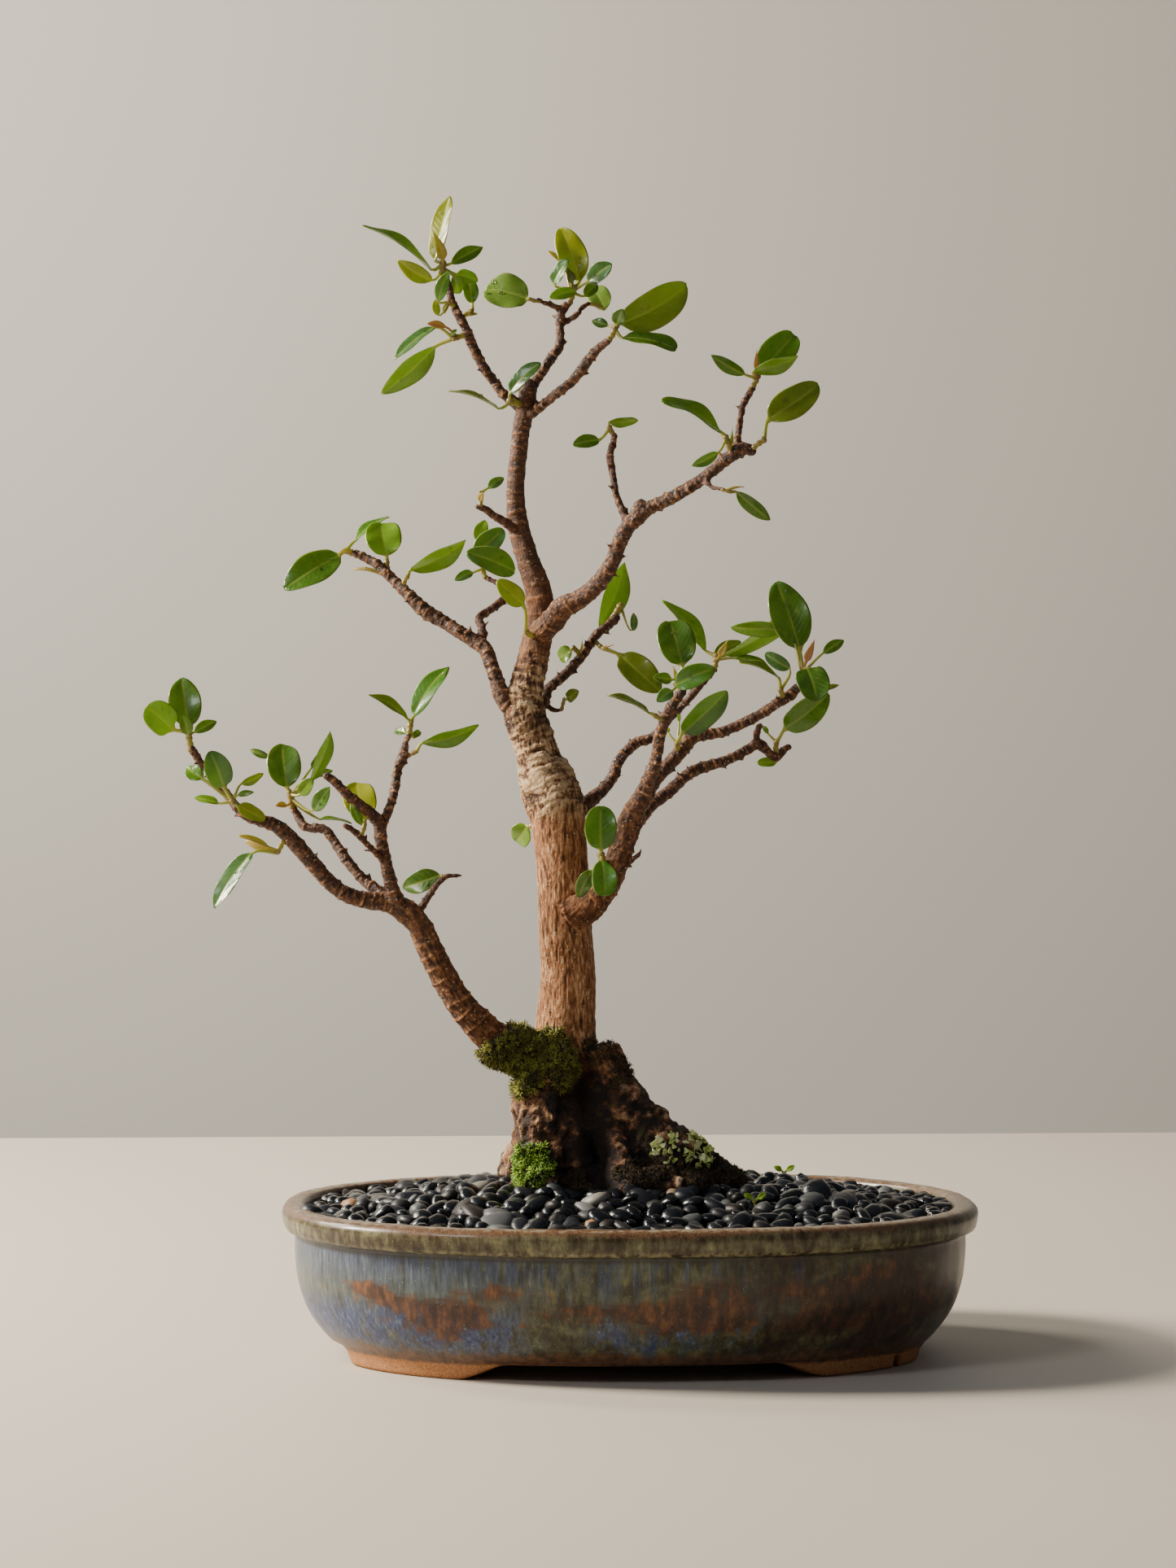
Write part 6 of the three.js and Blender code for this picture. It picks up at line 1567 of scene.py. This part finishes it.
def add_growth():
    draw = random.Random(17)
    hosts = ["trunk_wood", "low_left_limb_wood"]
    # name, patches, swell of the wood's skin, node it stands for, blade length and width, colours, gap
    kinds = [
        ("moss_collar_tufts", MOSS_COLLAR, 2.0, ("moss_collar",), 2.5, 0.42, COLLAR_MOSS, 0.85),
        ("moss_foot_tufts", MOSS_FOOT, 2.0, ("moss_foot",), 2.5, 0.5, FOOT_MOSS, 0.85),
        ("dark_moss_tufts", DARK_MOSS, 0.5, (), 1.7, 0.3, BLACK_MOSS, 0.8)]
    for name, patches, lift, nodes_replaced, length, width, stops, gap in kinds:
        finish = moss_finish(name.replace("_", " "), stops)
        shapes = [tuft(f"{name}_form_{i}", 5 + i, length, width, 0.45 + 0.15 * i, finish,
                       draw) for i in range(3)]
        tufts = scattered(name, wood_skin(hosts, patches, lift, name), shapes, finish, spacing=gap * MM,
                          density=3.0e6, smallest=0.6, largest=1.25, tilt=0.5, sink=0.0, seed=5)
        finished(tufts, "moss", *nodes_replaced)
    # a dark cushion under the tufts; the last finish made is the dark moss
    for name, patches, lift in (("moss_collar_pad", MOSS_COLLAR, 1.7), ("moss_foot_pad", MOSS_FOOT, 1.8)):
        finished(painted(wood_skin(hosts, patches, lift, name), finish), "moss")
    finish = moss_finish("lichen", LICHEN)
    crusts = [lobed_crust(f"lichen_form_{i}", finish, draw) for i in range(3)]
    lichen = scattered("lichen_rosettes", wood_skin(["trunk_wood"], LICHEN_PATCH, 0.3, "lichen"), crusts,
                       finish,
                       spacing=1.5 * MM, density=4.0e5, smallest=0.5, largest=1.35, tilt=0.75, sink=0.0,
                       seed=9)
    finished(lichen, "lichen", "lichen_patch")


# ---------------------------------------------------------------- droplets
def add_droplets():
    """Drops of water that lie on the blades' upper sides."""
    points, faces, first = [], [], 0
    for name in SHOOTS:
        mesh = bpy.data.objects[name + "_leaves"].data
        spots = []
        for key in ("shape", "blade"):
            values = np.empty(len(mesh.vertices) * 3, np.float32)
            mesh.attributes[key].data.foreach_get("vector", values)
            spots.append(values.reshape(-1, 3))
        shape, blade = spots
        open_top = (blade[:, 2] < 0.4) & (shape[:, 1] > 0.1) & (shape[:,
            1] < 0.92) & (np.abs(shape[:, 0]) < 0.85)
        order = np.cumsum(open_top) - 1 + first
        points.append(points_of(mesh)[open_top])
        for polygon in mesh.polygons:
            corners = list(polygon.vertices)
            if open_top[corners].all():
                faces.append([order[i] for i in corners])
        first += int(open_top.sum())
    surface = plain_mesh("droplets", np.vstack(points), faces, None)
    keep(surface.data, "room", "FLOAT", np.ones(first))
    water = Finish("water", {"Transmission Weight": 1, "IOR": 1.33, "Roughness": 0.02,
                             "Base Color": (0.96, 1, 0.96, 1)})
    unit_points, ball_faces = ball(8, 6)
    shapes = [shape_object(f"droplet_form_{i}", unit_points * [a, b, 0.28], ball_faces, water.material)
              for i, (a, b) in enumerate(((0.5, 0.5), (0.7, 0.52)))]
    drops = scattered("droplets", surface, shapes, water.material, spacing=1.5 * MM, density=22000.0,
                      smallest=0.5,
                      largest=1.5, tilt=0.0, sink=0.1 * MM, seed=14)
    finished(drops, "leaf")

# ---------------------------------------------------------------- bark
# Colour stops: how bright the pattern is there, and the colour.
BARK = {
    "trunk": [(0.34, (0.030, 0.010, 0.003)), (0.45, (0.115, 0.042, 0.011)),
        (0.55, (0.245, 0.095, 0.029)), (0.65, (0.42, 0.190, 0.074)), (0.77, (0.74, 0.52, 0.29))],
    "twig": [(0.35, (0.014, 0.005, 0.002)), (0.45, (0.065, 0.021, 0.006)), (0.54, (0.170, 0.062, 0.017)),
        (0.62, (0.34, 0.160, 0.055)), (0.73, (0.72, 0.50, 0.25))],
    "scaly": [(0.37, (0.018, 0.008, 0.004)), (0.48, (0.085, 0.040, 0.016)), (0.59, (0.20, 0.110, 0.048)),
        (0.74, (0.54, 0.39, 0.22))],
    "roots": [(0.36, (0.012, 0.007, 0.005)), (0.47, (0.060, 0.026, 0.013)), (0.55, (0.20, 0.085, 0.033)),
        (0.63, (0.42, 0.225, 0.105)), (0.75, (0.68, 0.48, 0.29))]}


def bark_finish():
    finish = Finish("bark", {"IOR": 1.42, "Coat Roughness": 0.25})
    along, around, radius = finish.parts(finish.attribute("grain"))
    rooty = finish.attribute("rooty", "Fac")
    relief = finish.attribute("relief", "Fac")
    place = finish.moved(finish.place(), tuple(-POT_MIDDLE))
    x, _, z = finish.parts(place)
    grain = finish.node("ShaderNodeCombineXYZ", sockets={0: around, 1: along * 0.16, 2: radius * 0.1})
    cross = finish.node("ShaderNodeCombineXYZ", sockets={0: around * 0.35, 1: along, 2: radius * 0.1})
    stripe = finish.noise(grain, 1.5, 5, 0.7, 0.4)
    thread = finish.noise(grain, 2.6, 4, 0.65)
    rings = finish.noise(cross, 0.95, 4, 0.65)
    cloud = finish.noise(place, 0.07, 3)
    grit = finish.noise(place, 1.3, 5, 0.7)
    patchy = finish.noise(place, 0.2, 4, 0.6, 0.5)
    twig = 1 - finish.step(radius, 2.4, 6.6)
    # painted shade and light: the bark colour is darker in the relief's hollows and lighter on its proud
    # ridges
    relief_shading = (relief - 0.5) * 0.42
    trunk = finish.ramp(stripe * 0.6 + thread * 0.4 + relief_shading, BARK["trunk"])
    trunk = finish.blend(finish.step(cloud, 0.45, 0.7) * 0.5, trunk,
                         finish.blend(0.5, trunk, (0.30, 0.105, 0.032)))
    young = finish.ramp(rings * 0.55 + grit * 0.45 + relief_shading, BARK["twig"])
    young = finish.blend((1 - finish.step(radius, 1.2, 2.2)) * 0.4, young,
                         finish.blend(0.6, young, (0.10, 0.022, 0.010)))
    body = finish.blend(twig, trunk, young)
    # the wrinkled, knotty stretch above the straight trunk
    knotty = finish.step(z, 196, 206) * (1 - finish.step(z, 250, 268)) * finish.step(radius, 4.2, 6.0)
    scaly = finish.ramp(rings * 0.5 + grit * 0.5 + relief_shading * 1.2, BARK["scaly"])
    body = finish.blend(knotty * 0.75, body, scaly)
    flecks = (1 - finish.step(finish.cells(cross, 0.85), 0.08, 0.24)) * finish.step(patchy, 0.38, 0.5)
    body = finish.blend(flecks * 0.6, body, (0.68, 0.50, 0.29))
    # the root base: rust and tan bark under dark growth
    roots = finish.ramp(patchy * 0.45 + grit * 0.55 + relief_shading * 1.3, BARK["roots"])
    left = 1 - finish.step(x + (patchy - 0.5) * 60, -22, 2)
    tan = finish.blend(0.55, roots, trunk)
    roots = finish.blend(left * 0.7, roots, tan)
    body = finish.blend(rooty, body, roots)
    dark = finish.step(finish.noise(place, 0.12, 4, 0.6) + (1 - left) * 0.10, 0.52, 0.62) * rooty
    body = finish.blend(dark * 0.88, body, (0.014, 0.009, 0.007))
    low = (1 - finish.step(z + patchy * 8, 62, 74)) * rooty
    body = finish.blend(low * 0.45, body, (0.024, 0.014, 0.010))
    green = finish.step(finish.noise(place, 0.17, 3), 0.60, 0.7) * rooty
    body = finish.blend(green * 0.35, body, (0.085, 0.09, 0.02))
    rough = 0.62 - 0.20 * twig + 0.22 * grit - 0.12 * rooty
    height = (stripe * 0.5 + thread * 0.3) * (1 - twig) + rings * 0.5 * twig + grit * (0.45 + 0.55 * rooty)
    return finish.surface(base_color=body, roughness=rough, coat_weight=0.1 * twig,
                          normal=finish.bump(height, 1.1, 1.0))


# ---------------------------------------------------------------- the whole
def add_floor():
    finish = Finish("plain pale floor", {"Roughness": 0.6})
    finish.surface(base_color=(0.52, 0.46, 0.39))
    wall = Finish("plain pale wall", {"Roughness": 0.9})
    wall.surface(base_color=(0.54, 0.51, 0.45))
    square = [(0, 1, 2, 3)]
    reach, back = FLOOR_REACH, FLOOR_BACK
    corners = np.array([(-reach, -reach, 0), (reach, -reach, 0), (reach, back, 0), (-reach, back, 0)]) / MM
    plain_mesh("floor", corners, square, finish.material, smooth=False)
    (low, high), back = WALL_HEIGHTS, WALL_BACK
    corners = np.array([(-reach, back, low), (reach, back, low), (reach, back, high),
                        (-reach, back, high)]) / MM
    plain_mesh("wall", corners, square, wall.material, smooth=False)


def add_lights():
    world = bpy.data.worlds.new("room")
    world.use_nodes = True
    background = world.node_tree.nodes["Background"].inputs
    background["Color"].default_value = (0.78, 0.86, 1.0, 1)
    background["Strength"].default_value = 0.13
    bpy.context.scene.world = world
    # name, place, size and power, then colour
    add_light("window", (-1.25, 0.10, 0.86), 0.36, 72, (1.0, 0.91, 0.77))
    add_light("window_front", (-0.95, -0.95, 1.0), 0.34, 6, (0.92, 0.96, 1.0))
    add_light("room_fill", (1.3, -1.2, 1.1), 1.6, 1.0, (1.0, 0.95, 0.88))
    add_light("wall_wash", (-1.5, 1.1, 1.4), 0.8, 84, (1.0, 0.93, 0.82), target=(0.3, WALL_BACK, 0.5))


add_floor()
add_lights()
painted(nodes["soil"], soil_finish())
drainage = mesh_finish()
for name in ("drainage_mesh_left", "drainage_mesh_right"):
    painted(nodes[name], drainage)
add_pot(glaze_finish())
bark = bark_finish()
add_trunk(bark)
for seed, (name, limbs) in enumerate(BOUGHS.items()):
    add_bough(name, limbs, bark, 40 + seed)
leaf = leaf_finish()
for name, (stem, rows) in SHOOTS.items():
    add_shoot(name, stem, rows, leaf, name)
for i, (x, y, z) in enumerate(SEEDLINGS):
    rows = [((x + 1, y - 1, z + 7), (x + 4, y - 1.5, z + 9), 2.2, 0, "oval", "bright"),
            ((x - 1, y - 1, z + 7), (x - 4, y - 1, z + 8.6), 2.2, 0, "oval", "bright")]
    add_shoot(f"seedling_{i}", ((x, y, z), (x, y - 0.5, z + 6), 0.45), rows, leaf)
add_droplets()
add_pebbles()
add_growth()
